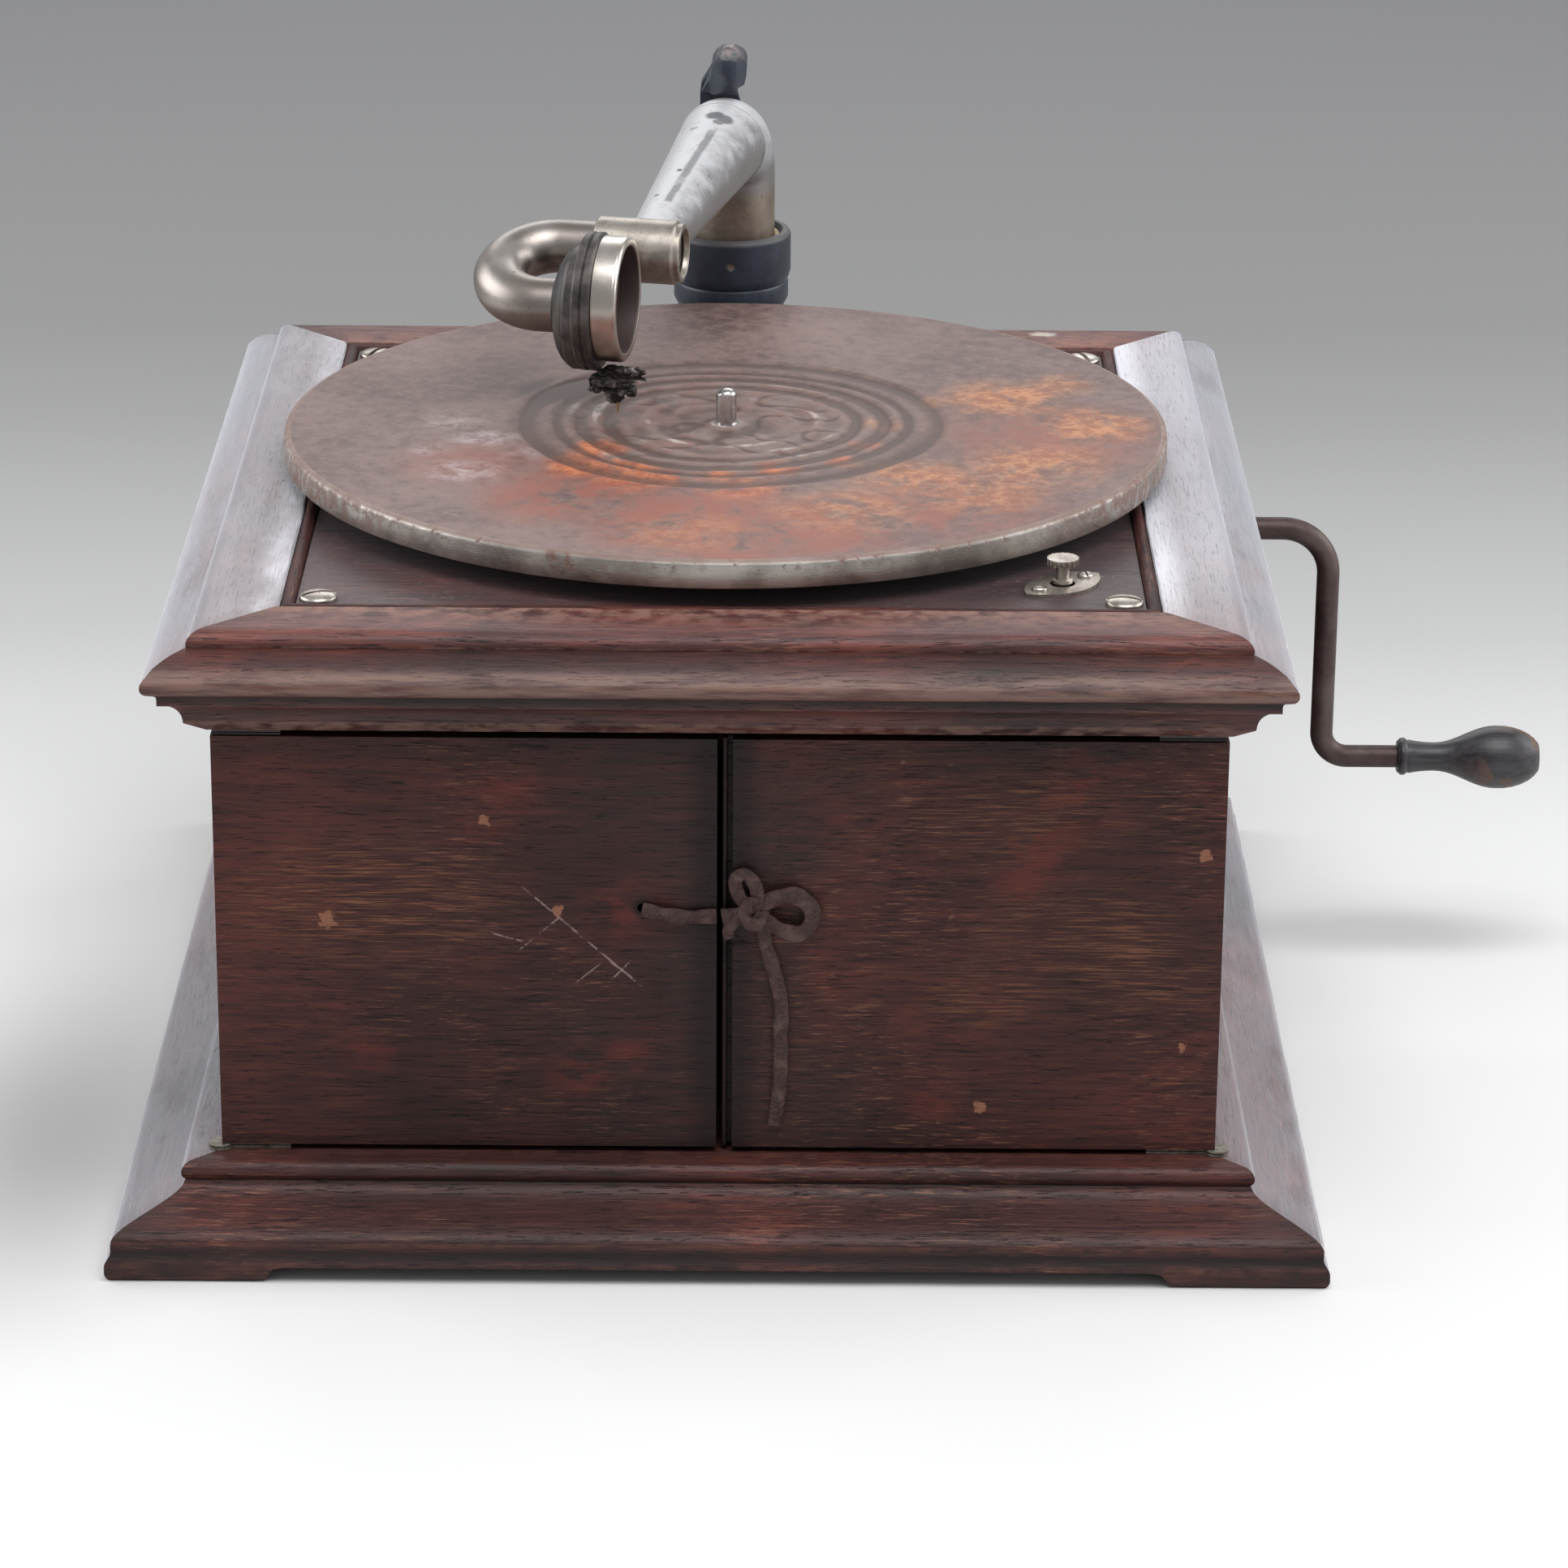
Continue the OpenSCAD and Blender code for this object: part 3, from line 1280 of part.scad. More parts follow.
module brake_lever() {
    color(brass)
        difference() {
            union() {
                translate([0, 0, lever_z])
                    linear_extrude(height = lever_t)
                        for (end = [lever_pad, lever_tail]) {
                            run = end - lever_pivot;
                            side = lever_end_r * [-run[1], run[0]] / norm(run);
                            polygon([lever_pivot - side, end - side, end + side, lever_pivot + side]);
                            translate(end) circle(r = lever_end_r);
                        }
                at_axis(lever_pivot, lever_z) cylinder(r = lever_hub_r, h = motor_high_z - lever_z - fit);
                at_axis(lever_pad, lever_z) cylinder(r = pad_r, h = disc_z + disc_t - lever_z);
            }
            at_axis(lever_pivot, lever_z - 1)
                cylinder(r = lever_stud_r + run_gap, h = motor_high_z - lever_z + 2);
        }
}

// Crank: one bent rod with a turned grip free to spin on its end
crank_bend_r = 17;
crank_low_bend_r = 9.5;
grip_x = crank_x + 28;
grip_pin_r = 3;
crank_low_z = crank_z - crank_throw;
module crank_rod() {
    color([0.27, 0.22, 0.21])
        translate([0, crank_y, 0]) {
            translate([socket_x - socket_depth, 0, crank_z])
                rotate([0, 90, 0])
                    cylinder(r = crank_rod_r, h = crank_x - crank_bend_r - socket_x + socket_depth);
            translate([crank_x - crank_bend_r, 0, crank_z - crank_bend_r])
                rotate([90, 0, 0])
                    rotate_extrude(angle = 90) translate([crank_bend_r, 0]) circle(r = crank_rod_r);
            translate([crank_x, 0, crank_low_z + crank_low_bend_r])
                cylinder(r = crank_rod_r, h = crank_throw - crank_bend_r - crank_low_bend_r);
            translate([crank_x + crank_low_bend_r, 0, crank_low_z + crank_low_bend_r])
                rotate([90, 0, 0]) rotate([0, 0, 180])
                    rotate_extrude(angle = 90) translate([crank_low_bend_r, 0]) circle(r = crank_rod_r);
            translate([crank_x + crank_low_bend_r, 0, crank_low_z])
                rotate([0, 90, 0])
                    cylinder(r = crank_rod_r, h = grip_x - crank_x - crank_low_bend_r - fit);
            translate([grip_x - fit - 0.1, 0, crank_low_z])
                rotate([0, 90, 0]) cylinder(r = grip_pin_r, h = grip_len - 8);
        }
}

module crank_grip() {
    bulb_r = 11.5;
    neck_half = 5.2;
    collar_half = 6.7;
    color([0.2, 0.19, 0.2])
        translate([grip_x, crank_y, crank_low_z])
            rotate([0, 90, 0])
                rotate_extrude()
                    polygon(concat(
                        [[grip_pin_r + run_gap, 0], [collar_half - 1, 0]],
                        arc(collar_half - 1.6, 2, 1.8, -60, 60, 4),
                        [for (i = [0:4]) let (t = i / 4)
                            [neck_half + 0.9 * (1 - t) * (1 - t), 4.5 + 9 * t]],
                        [for (i = [1:10]) let (a = 180 * i / 10)
                            [neck_half + (bulb_r - neck_half) * (1 - cos(a)) / 2, 13.5 + 22.5 * i / 10]],
                        [for (i = [1:6]) let (a = 68 * i / 6)
                            [bulb_r * cos(a) + 0.9 * i / 6, 36 + (grip_len - 36) * sin(a) / sin(68)]],
                        [[0, grip_len], [0, grip_len - 7], [grip_pin_r + run_gap, grip_len - 7]]));
}

escutcheon_t = 1.6;
escutcheon_gap = 0.5;
module crank_escutcheon() {
    lens_r = 17;
    lens_off = 8.5;
    color(brass) {
        difference() {
            translate([half_w, crank_y, crank_z])
                rotate([0, 90, 0])
                    intersection() {
                        translate([lens_off, 0, 0]) cylinder(r = lens_r, h = escutcheon_t);
                        translate([-lens_off, 0, 0]) cylinder(r = lens_r, h = escutcheon_t);
                    }
            translate([half_w - 1, crank_y, crank_z])
                rotate([0, 90, 0]) cylinder(r = crank_rod_r + escutcheon_gap, h = escutcheon_t + 2);
            at_escutcheon_screws(half_w - 1) cylinder(r = escutcheon_screw_r, h = escutcheon_t + 2);
        }
        at_escutcheon_screws(half_w + escutcheon_t)
            slotted_screw(escutcheon_screw_r, 9, 2.3, 1.2, 0.6);
    }
}

// Speed regulator: a pointed oval plate with two screws, and a knurled knob
reg_plate_t = 1.2;
module regulator_plate() {
    lens_r = 19;
    lens_off = 9.5;
    color(nickel) {
        difference() {
            translate([regulator_x, regulator_y, board_z])
                rotate([0, 0, reg_turn])
                    intersection() {
                        translate([0, lens_off, 0]) cylinder(r = lens_r, h = reg_plate_t);
                        translate([0, -lens_off, 0]) cylinder(r = lens_r, h = reg_plate_t);
                    }
            translate([regulator_x, regulator_y, board_z - 1]) cylinder(r = regulator_hole_r, h = 5);
            at_reg_screws(board_z - 1) cylinder(r = reg_screw_r, h = 5);
        }
        at_reg_screws(board_z + reg_plate_t) slotted_screw(reg_screw_r, 8, 2.6, 1.6, 0.7);
    }
}

knob_cap_z = board_z + 8;
module regulator_knob() {
    color(nickel)
        translate([regulator_x, regulator_y, 0]) {
            difference() {
                union() {
                    translate([0, 0, knob_cap_z]) cylinder(r = 5.3, h = 2);
                    translate([0, 0, lever_z - 2]) cylinder(r = 2.2, h = knob_cap_z - lever_z + 2);
                    translate([0, 0, board_z + reg_plate_t + fit]) cylinder(r = 3.4, h = 1.2);
                }
                for (i = [0:17])
                    rotate([0, 0, i * 20])
                        translate([5.3, 0, knob_cap_z - 1]) cylinder(r = 0.4, h = 4);
            }
            translate([-cam_off * cos(tail_dir), -cam_off * sin(tail_dir), lever_z - 0.5])
                cylinder(r = cam_r, h = lever_t + 1);
        }
}

// Leather lace that ties the doors: a short stretch on the left door,
// then the knot, the bow and the hanging end on the right door
lace_w = 4.8;
lace_d = 1.8;
lace_y = -half_d - lace_d / 2 - fit;
lace_left_points = [[-25, 118], [-18, 116.5], [-10, 115.5], [-0.9, 116]];
lace_right_points = [[0.9, 116], [7, 117], [12, 117], [14, 112], [16, 106], [19, 98], [21, 86], [20, 72],
    [19, 58], [17, 42]];

// Flat strip along points in the plane of the doors
module lace_strip(points, y) {
    n = len(points) - 1;
    function side_of(i) =
        let (a = points[max(i - 1, 0)], b = points[min(i + 1, n)], d = (b - a) / norm(b - a))
            [-d[1], d[0]];
    faces = concat(
        [[3, 2, 1, 0]],
        [for (i = [0:n - 1], k = [0:3])
            [4 * i + (k + 1) % 4, 4 * i + 4 + (k + 1) % 4, 4 * i + 4 + k, 4 * i + k]],
        [[4 * n, 4 * n + 1, 4 * n + 2, 4 * n + 3]]);
    rings = [for (i = [0:n]) let (p = points[i], s = side_of(i) * lace_w / 2) each [
        [p[0] + s[0], y - lace_d / 2, p[1] + s[1]], [p[0] + s[0], y + lace_d / 2, p[1] + s[1]],
        [p[0] - s[0], y + lace_d / 2, p[1] - s[1]], [p[0] - s[0], y - lace_d / 2, p[1] - s[1]]]];
    polyhedron(points = rings, faces = faces);
}

module lace_left() {
    color(leather) lace_strip(lace_left_points, lace_y);
}

// The knot and the bow are one flat body that the loops fill
knot_d = 4.4;
knot_at = [10, 117.5];
bow_at = [21, 116.5];
module lace_right() {
    color(leather)
        union() {
            lace_strip(lace_right_points, lace_y);
            translate([0, -half_d - fit, 0])
                rotate([90, 0, 0])
                    linear_extrude(height = knot_d)
                        union() {
                            translate(knot_at) circle(r = 6);
                            translate(bow_at) circle(r = 8.6);
                            translate([9, 125.5]) circle(r = 5.4);
                        }
        }
}

bottom_board();
plinth("front");  // plinth_front
plinth("rear");  // plinth_rear
plinth("left");  // plinth_left
plinth("right");  // plinth_right
case_side(-1);  // case_left
case_side(1);  // case_right
case_back();
cornice("front");  // cornice_front
cornice("left");  // cornice_left
cornice("right");  // cornice_right
cornice_rear();
top_rails();
board_beading();
board_cleats();
motor_board();
motor_board_screws();
door_left();
door_right();
hinge_plates();
door_plates(-1);  // door_left_plates
door_plates(1);  // door_right_plates
horn_sides();
horn_covers();
horn_frame();
horn_throat();
back_bracket();
bracket_screws();
arm_bushing();
tonearm();
cross_tube();
cross_tube_screw();
gooseneck();
soundbox_back();
soundbox_body();
soundbox_ring();
diaphragm();
stylus_bar();
needle();
needle_screw();
turntable();
spindle();
spindle_gears();
motor_plates();
motor_bolts();
spring_barrel();
mainspring();
barrel_arbor();
mid_arbor();
governor_shaft();
governor_balls();
brake_lever();
winding_shaft();
crank_escutcheon();
crank_rod();
crank_grip();
regulator_plate();
regulator_knob();
lace_left();
lace_right();
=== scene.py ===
import math

import bpy
from mathutils import Matrix, Vector, noise


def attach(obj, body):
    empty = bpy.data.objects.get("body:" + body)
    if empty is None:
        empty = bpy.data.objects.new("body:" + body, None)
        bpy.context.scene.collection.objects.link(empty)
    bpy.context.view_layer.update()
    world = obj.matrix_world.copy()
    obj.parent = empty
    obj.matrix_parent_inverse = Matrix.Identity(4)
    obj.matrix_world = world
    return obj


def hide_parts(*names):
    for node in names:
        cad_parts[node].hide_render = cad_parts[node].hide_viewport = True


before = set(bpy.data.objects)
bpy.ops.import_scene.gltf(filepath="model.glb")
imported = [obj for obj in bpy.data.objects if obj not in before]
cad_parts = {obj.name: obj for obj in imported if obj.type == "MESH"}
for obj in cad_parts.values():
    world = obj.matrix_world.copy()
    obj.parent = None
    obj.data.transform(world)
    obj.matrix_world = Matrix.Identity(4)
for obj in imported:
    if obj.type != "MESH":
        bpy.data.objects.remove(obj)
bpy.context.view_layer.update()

scene = bpy.context.scene
scene.view_settings.view_transform = "Standard"

# The photographer's camera
# It stands almost two metres in front of the doors, a little right of the middle, on a
# long lens, and looks down on the turntable by about twenty degrees.
camera_place = Vector((0.0172, -1.868, 0.8004))
camera_ahead = Vector((0.00187, 0.93572, -0.35275)).normalized()
camera_roll = math.radians(0.44)
level_right = camera_ahead.cross(Vector((0, 0, 1))).normalized()
level_up = level_right.cross(camera_ahead)
camera_right = math.cos(camera_roll) * level_right + math.sin(camera_roll) * level_up
camera_up = camera_right.cross(camera_ahead)
camera = bpy.data.objects.new("camera", bpy.data.cameras.new("camera"))
camera.data.sensor_width = 36
camera.data.lens = 129.65
camera.data.clip_start = 0.05
camera.data.clip_end = 30
turned = Matrix((camera_right, camera_up, -camera_ahead)).transposed()
camera.matrix_world = Matrix.Translation(camera_place) @ turned.to_4x4()
scene.collection.objects.link(camera)
scene.camera = camera


# The leather lace that ties the doors
# A flat thong of brown leather goes through a hole in the left door, crosses the gap and
# is tied on the right door in a knot with two loops and one hanging end.
class Value:
    """A socket of a material, so that shader maths is written as Python."""

    def __init__(self, socket):
        self.socket = socket

    def node(self, kind, settings, values, output=0):
        """Adds a node of a type: its settings are set first, then its sockets."""
        tree = self.socket.id_data
        made = tree.nodes.new(kind)
        for name, setting in settings.items():
            if name == "stops":
                ramp = made.color_ramp
                while len(ramp.elements) < len(setting):
                    ramp.elements.new(0.5)
                for element, (at, colour) in zip(ramp.elements, setting):
                    element.position = at
                    element.color = (*colour, 1)
            else:
                setattr(made, name, setting)
        for key, value in values.items():
            if isinstance(value, Value):
                tree.links.new(value.socket, made.inputs[key])
            else:
                made.inputs[key].default_value = value
        return Value(made.outputs[output])

    def math(self, operation, *others):
        return self.node("ShaderNodeMath", {"operation": operation}, dict(enumerate((self, *others))))

    def __add__(self, other):
        return self.math("ADD", other)

    __radd__ = __add__

    def __sub__(self, other):
        return self.math("SUBTRACT", other)

    def __rsub__(self, other):
        return (self * -1) + other

    def __mul__(self, other):
        return self.math("MULTIPLY", other)

    __rmul__ = __mul__

    def __truediv__(self, other):
        return self.math("DIVIDE", other)

    def at_least(self, other):
        return self.math("MAXIMUM", other)

    def at_most(self, other):
        return self.math("MINIMUM", other)

    def fade(self, start, end):
        """0 up to start, 1 from end, and smooth in between; end may be the lower one."""
        settings = {"interpolation_type": "SMOOTHSTEP", "clamp": True}
        return self.node("ShaderNodeMapRange", settings, {0: self, 1: start, 2: end, 3: 0.0, 4: 1.0})

    def ramp(self, *stops):
        return self.node("ShaderNodeValToRGB", {"stops": stops}, {0: self})

    def vector(self, operation, other, output=0):
        return self.node("ShaderNodeVectorMath", {"operation": operation}, {0: self, 1: other}, output)

    def scaled(self, x, y, z):
        return self.vector("MULTIPLY", (x, y, z))

    def moved(self, other):
        return self.vector("ADD", other)

    def turned(self, x, y, z):
        angles = tuple(math.radians(a) for a in (x, y, z))
        return self.node("ShaderNodeVectorRotate", {"rotation_type": "EULER_XYZ"},
                         {"Vector": self, "Rotation": angles})

    def part(self, axis):
        return self.node("ShaderNodeSeparateXYZ", {}, {0: self}, "XYZ".index(axis))

    def distance(self, point):
        return self.vector("DISTANCE", point, 1)

    def noise(self, scale, detail=3.0, rough=0.55, twist=0.0):
        values = {"Vector": self, "Scale": scale, "Detail": detail, "Roughness": rough, "Distortion": twist}
        return self.node("ShaderNodeTexNoise", {}, values)

    def warped(self, scale, amount):
        """The place, stirred about by a noise of a scale."""
        stir = self.node("ShaderNodeTexNoise", {}, {"Vector": self, "Scale": scale, "Detail": 4.0}, 1)
        return self.moved(stir.scaled(amount, amount, amount)).moved((-amount / 2,) * 3)

    def cells(self, scale):
        return self.node("ShaderNodeTexVoronoi", {}, {"Vector": self, "Scale": scale})


def mix(factor, first, second):
    """The mix of two colours, each a Value or three numbers."""
    colours = [c if isinstance(c, Value) else (*c, 1) for c in (first, second)]
    source = next(v for v in (factor, first, second) if isinstance(v, Value))
    return source.node("ShaderNodeMix", {"data_type": "RGBA"}, {0: factor, 6: colours[0], 7: colours[1]}, 2)


class Finish:
    """A material in the making, with the place on the object as its start."""

    def __init__(self, name):
        self.material = bpy.data.materials.new(name)
        self.material.use_nodes = True
        self.tree = self.material.node_tree
        self.shader = self.tree.nodes["Principled BSDF"]
        self.place = Value(self.tree.nodes.new("ShaderNodeTexCoord").outputs["Object"])
        self.colour = None

    def mark(self, name):
        """A number that the mesh carries at each corner of its faces or points."""
        made = self.tree.nodes.new("ShaderNodeAttribute")
        made.attribute_name = name
        return Value(made.outputs["Fac"])

    def set(self, **sockets):
        self.colour = sockets.get("Base_Color", self.colour)
        for name, value in sockets.items():
            socket = self.shader.inputs[name.replace("_", " ")]
            if isinstance(value, Value):
                self.tree.links.new(value.socket, socket)
            else:
                socket.default_value = value

    def paint(self, mask, tone):
        """Lays a tone over the colour so far, where the mask is 1."""
        self.set(Base_Color=mix(mask, self.colour, tone))

    def bump(self, height, depth, strength=1.0):
        """Raises the surface by height, a Value from 0 to 1, times depth in metres."""
        values = {"Height": height, "Distance": depth, "Strength": strength}
        self.set(Normal=height.node("ShaderNodeBump", {}, values))


def add_piece(name, points, faces, body, finish, replaces=(), crease=38.0, marks=None):
    """Makes a mesh piece, rounds its shading below the crease angle and lets it ride on a body."""
    mesh = bpy.data.meshes.new(name)
    mesh.from_pydata([tuple(p) for p in points], [], faces)
    mesh.shade_smooth()
    mesh.set_sharp_from_angle(angle=math.radians(crease))
    for mark, numbers in (marks or {}).items():
        mesh.attributes.new(mark, "FLOAT", "POINT").data.foreach_set("value", numbers)
    mesh.materials.append(finish.material)
    piece = bpy.data.objects.new(name, mesh)
    scene.collection.objects.link(piece)
    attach(piece, body)
    if replaces:
        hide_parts(*replaces)
    return piece


def smooth_path(points, steps):
    """A smooth curve through given points, as a list of vectors."""
    ends = [2 * points[0] - points[1], *points, 2 * points[-1] - points[-2]]
    path = []
    for a, b, c, d in zip(ends, ends[1:], ends[2:], ends[3:]):
        for i in range(steps):
            t = i / steps
            path.append(0.5 * (2 * b + (c - a) * t + (2 * a - 5 * b + 4 * c - d) * t * t
                               + (3 * b - a - 3 * c + d) * t ** 3))
    return [*path, points[-1]]


def path_length(path):
    return sum((b - a).length for a, b in zip(path, path[1:]))


def band(rings, around, start=0, turned=False):
    """Faces between closed rings of points that follow one another."""
    faces = []
    for low in range(start, start + (rings - 1) * around, around):
        for k in range(around):
            after = (k + 1) % around
            face = [low + k, low + around + k, low + around + after, low + after]
            faces.append([face[0], *face[:0:-1]] if turned else face)
    return faces


door_face = -0.1725
lace_width = 0.0048
lace_thickness = 0.0017
lace_gap = 0.0014

leather = Finish("worn_leather")
crazing = leather.place.noise(900, 4)
stain = leather.place.noise(160, 3)
leather.set(
    Base_Color=mix(stain.fade(0.45, 0.72) * 0.6, mix(crazing.fade(0.3, 0.7), (0.022, 0.01, 0.009),
                                                     (0.066, 0.028, 0.024)), (0.13, 0.076, 0.066)),
    Roughness=0.68 + crazing * 0.15,
)
leather.bump(crazing, 0.0006)


def thong(name, points, body, twists=0.0, wide=lace_width, steps=6):
    """A flat thong of leather along points in front of the doors, given as x, depth and z."""
    path = smooth_path([Vector((x, door_face - depth, z)) for x, depth, z in points], steps)
    outline = [(-0.5, -0.28), (-0.38, -0.5), (0.0, -0.42), (0.38, -0.5),
               (0.5, -0.28), (0.5, 0.3), (0.36, 0.5), (0.0, 0.58), (-0.36, 0.5), (-0.5, 0.3)]
    mesh_points = []
    for i, centre in enumerate(path):
        ahead = (path[min(i + 1, len(path) - 1)] - path[max(i - 1, 0)]).normalized()
        out = Vector((0, -1, 0))
        side = ahead.cross(out).normalized()
        out = side.cross(ahead).normalized()
        roll = twists * math.tau * i / len(path) + 0.35 * math.sin(i * 0.55)
        width = wide * (1 + 0.14 * noise.noise(centre * 260))
        for across, up in outline:
            a = across * width * math.cos(roll) - up * lace_thickness * math.sin(roll)
            b = across * width * math.sin(roll) + up * lace_thickness * math.cos(roll)
            mesh_points.append(centre + side * a + out * max(b, -lace_gap))
    n = len(outline)
    faces = band(len(path), n, turned=True)
    faces.append(list(range(n))[::-1])
    faces.append([(len(path) - 1) * n + k for k in range(n)])
    return add_piece(name, mesh_points, faces, body, leather, crease=70), path


hole_x = -0.025
lace_z = 0.118
left_points = [(hole_x, 0.0011, lace_z), (-0.021, 0.0015, 0.1172), (-0.015, 0.0016, 0.116),
               (-0.009, 0.0016, 0.1156), (-0.0048, 0.0016, 0.1158), (-0.0009, 0.0016, 0.116)]
left_thong, _ = thong("lace_through_left_door", left_points, "left_door")
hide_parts("lace_left")

hanging_points = [(0.0125, 0.003, 0.1155), (0.014, 0.0024, 0.112), (0.0152, 0.0016, 0.106),
                  (0.0172, 0.0015, 0.099), (0.0192, 0.0017, 0.0915), (0.0203, 0.0016, 0.0835),
                  (0.0201, 0.0015, 0.075), (0.0202, 0.0016, 0.0665), (0.02, 0.0015, 0.058),
                  (0.0193, 0.0016, 0.05), (0.0182, 0.0017, 0.0425)]
hanging_thong, hanging_path = thong("lace_hanging_end", hanging_points, "right_door")

crossing_points = [(0.0009, 0.0016, 0.116), (0.0035, 0.002, 0.1165), (0.0065, 0.003, 0.1175),
                   (0.0095, 0.004, 0.1185)]
crossing_thong, _ = thong("lace_to_the_knot", crossing_points, "right_door", steps=4)
right_loop_points = [(0.011, 0.0036, 0.118), (0.017, 0.003, 0.1225), (0.024, 0.0022, 0.1235),
                     (0.0292, 0.002, 0.12), (0.03, 0.0022, 0.115), (0.0262, 0.0026, 0.1105),
                     (0.0205, 0.0034, 0.112), (0.015, 0.004, 0.115), (0.011, 0.0042, 0.1175)]
right_loop, _ = thong("lace_right_loop", right_loop_points, "right_door", twists=0.05, wide=0.0056)
top_loop_points = [(0.01, 0.004, 0.119), (0.0062, 0.003, 0.124), (0.0052, 0.0024, 0.129),
                   (0.0082, 0.0026, 0.131), (0.0115, 0.003, 0.1275), (0.0122, 0.0038, 0.1225),
                   (0.011, 0.0042, 0.1185)]
top_loop, _ = thong("lace_top_loop", top_loop_points, "right_door", wide=0.0044)
stub_points = [(0.009, 0.0036, 0.118), (0.0052, 0.0028, 0.115), (0.003, 0.0022, 0.1115),
               (0.0032, 0.0018, 0.1085)]
short_end, _ = thong("lace_short_end", stub_points, "right_door", wide=0.0038, steps=5)
knot_points = [(0.0128, 0.0036, 0.121), (0.0098, 0.0052, 0.1216), (0.0082, 0.005, 0.118),
               (0.0102, 0.0054, 0.115), (0.0132, 0.0052, 0.1158), (0.014, 0.004, 0.119)]
knot_wrap, _ = thong("lace_knot_wrap", knot_points, "right_door", twists=0.12)
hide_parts("lace_right")
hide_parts("lace_right")
path_length(hanging_path)


# The oak plinth
# Four mitred lengths of stained oak with a square foot, an ogee and a bead, cut away
# underneath between the corners so that the case stands on four feet.
case_half = {"x": 0.1637, "y": -door_face}
side_board = 0.012
ledge_z = 0.0316
foot_out = 0.0355
foot_step = foot_out - 0.0021
ogee_foot_z = 0.013
ogee_top_z = ledge_z - 0.0064
ogee_top_out = 0.011
foot_cut = 0.0055
foot_bead = 0.0033
foot_length = 0.052


def oak(name, along, light=1.0, worn=0.35, streaks=0.5, gloss=0.5, dust_and_glare=0.0, shine=0.25,
        rub=(0.19, 0.075, 0.055)):
    """Stained quarter-sawn oak with its grain along one axis, under old dark varnish, and if asked with a
    painted lilac glare mixed with dust bloom.
    """
    finish = Finish(name)
    place = finish.place

    def drawn(point, amount):
        """A place drawn out along the grain."""
        return point.scaled(*[1.0 if axis == along else amount for axis in "XYZ"])

    def lit(*colour):
        return tuple(part * light for part in colour)

    grain = drawn(place.warped(7, 0.006), 18.0)
    cloud = place.noise(9, 4, 0.6, 0.4)
    fibre = grain.noise(30, 5, 0.65)
    pores = grain.noise(90, 3, 0.65)
    patches = place.noise(15, 3, 0.55)
    tone = cloud * 0.5 + fibre * 0.5
    finish.set(Base_Color=tone.ramp((0.36, lit(0.016, 0.006, 0.0058)),
                                    (0.5, lit(0.037, 0.0122, 0.0108)),
                                    (0.64, lit(0.08, 0.0215, 0.016))))
    turn = {"X": (0, 28, 0), "Y": (0, 0, 24)}[along]
    flake = drawn(place.turned(*turn), 4.0)
    flakes = flake.noise(26, 2, 0.45, 0.8).fade(0.58, 0.72) * cloud.fade(0.42, 0.62)
    finish.paint(flakes * 0.28, lit(0.125, 0.028, 0.018))
    open_grain = pores.fade(0.585, 0.65) * patches.fade(0.6 - 0.3 * streaks, 0.72 - 0.2 * streaks)
    finish.paint(open_grain * 0.7, lit(0.185, 0.077, 0.048))
    dark_pores = pores.fade(0.41, 0.34)
    finish.paint(dark_pores * (0.85 - dust_and_glare), (0.005, 0.0025, 0.0025))
    wear = finish.mark("wear") * place.noise(140, 4, 0.6).fade(0.36, 0.62)
    finish.paint(wear * worn, rub)
    specks = place.warped(260, 0.004).cells(48).fade(0.055, 0.03) * patches.fade(0.5, 0.6)
    finish.paint(specks * 0.6, (0.2, 0.1, 0.065))
    # Painted shade and dirt in the hollow corners of the mouldings and by the mitres.
    crease_shade_and_dirt = finish.mark("crease_shade_and_dirt").at_most(1.0)
    finish.paint(crease_shade_and_dirt * 0.8, (0.009, 0.006, 0.006))
    if dust_and_glare:
        # Painted lilac glare mixed with dust bloom, kept off the shaded foot and the shaded band under the
        # nosing.
        hair = drawn(place, 34.0).noise(40, 4, 0.65)
        brown = drawn(place.warped(30, 0.01), 3.0).noise(16, 5, 0.65)
        height = place.part("Z")
        away_from_shade = height.fade(0.007, 0.013) * (1 - height.fade(0.172, 0.178) * height.fade(0.198, 0.194))
        glare_and_bloom = hair.fade(0.3, 0.7) * 0.4 + 0.68 - brown.fade(0.5, 0.66) * 0.42 - crease_shade_and_dirt * 1.3
        glare_and_bloom_tone = mix(cloud.fade(0.4, 0.6), (0.42, 0.44, 0.5), (0.44, 0.41, 0.455))
        finish.paint(glare_and_bloom.at_least(0.0) * (away_from_shade * 0.7 + 0.3) * dust_and_glare, glare_and_bloom_tone)
        # Painted glints along the worn arrises.
        arris_wear_and_glint = finish.mark("wear").fade(0.45, 0.95) * hair.fade(0.25, 0.45)
        finish.paint((arris_wear_and_glint * away_from_shade * dust_and_glare * 2.2).at_most(1.0), (0.88, 0.88, 0.94))
        # Painted shade and dirt in the hollows, stronger where the glare is strong.
        crease = finish.mark("crease_shade_and_dirt").fade(0.3, 0.8) * min(1.0, dust_and_glare * 2.0)
        finish.paint(crease * 0.7, (0.05, 0.036, 0.04))
    finish.set(
        Roughness=gloss + pores * 0.16 + wear * 0.2 + crease_shade_and_dirt * 0.2 - cloud * 0.1,
        Specular_IOR_Level=shine,
        Sheen_Weight=min(1.0, dust_and_glare * 3.0),
        Sheen_Roughness=0.35,
        Sheen_Tint=(0.9, 0.93, 1.0, 1),
    )
    finish.bump(fibre * 0.5 + pores * 0.5 - dark_pores * 0.5, 0.0004, 0.7)
    return finish


oak_y = oak("oak_grain_front_to_back", "Y", light=1.2)
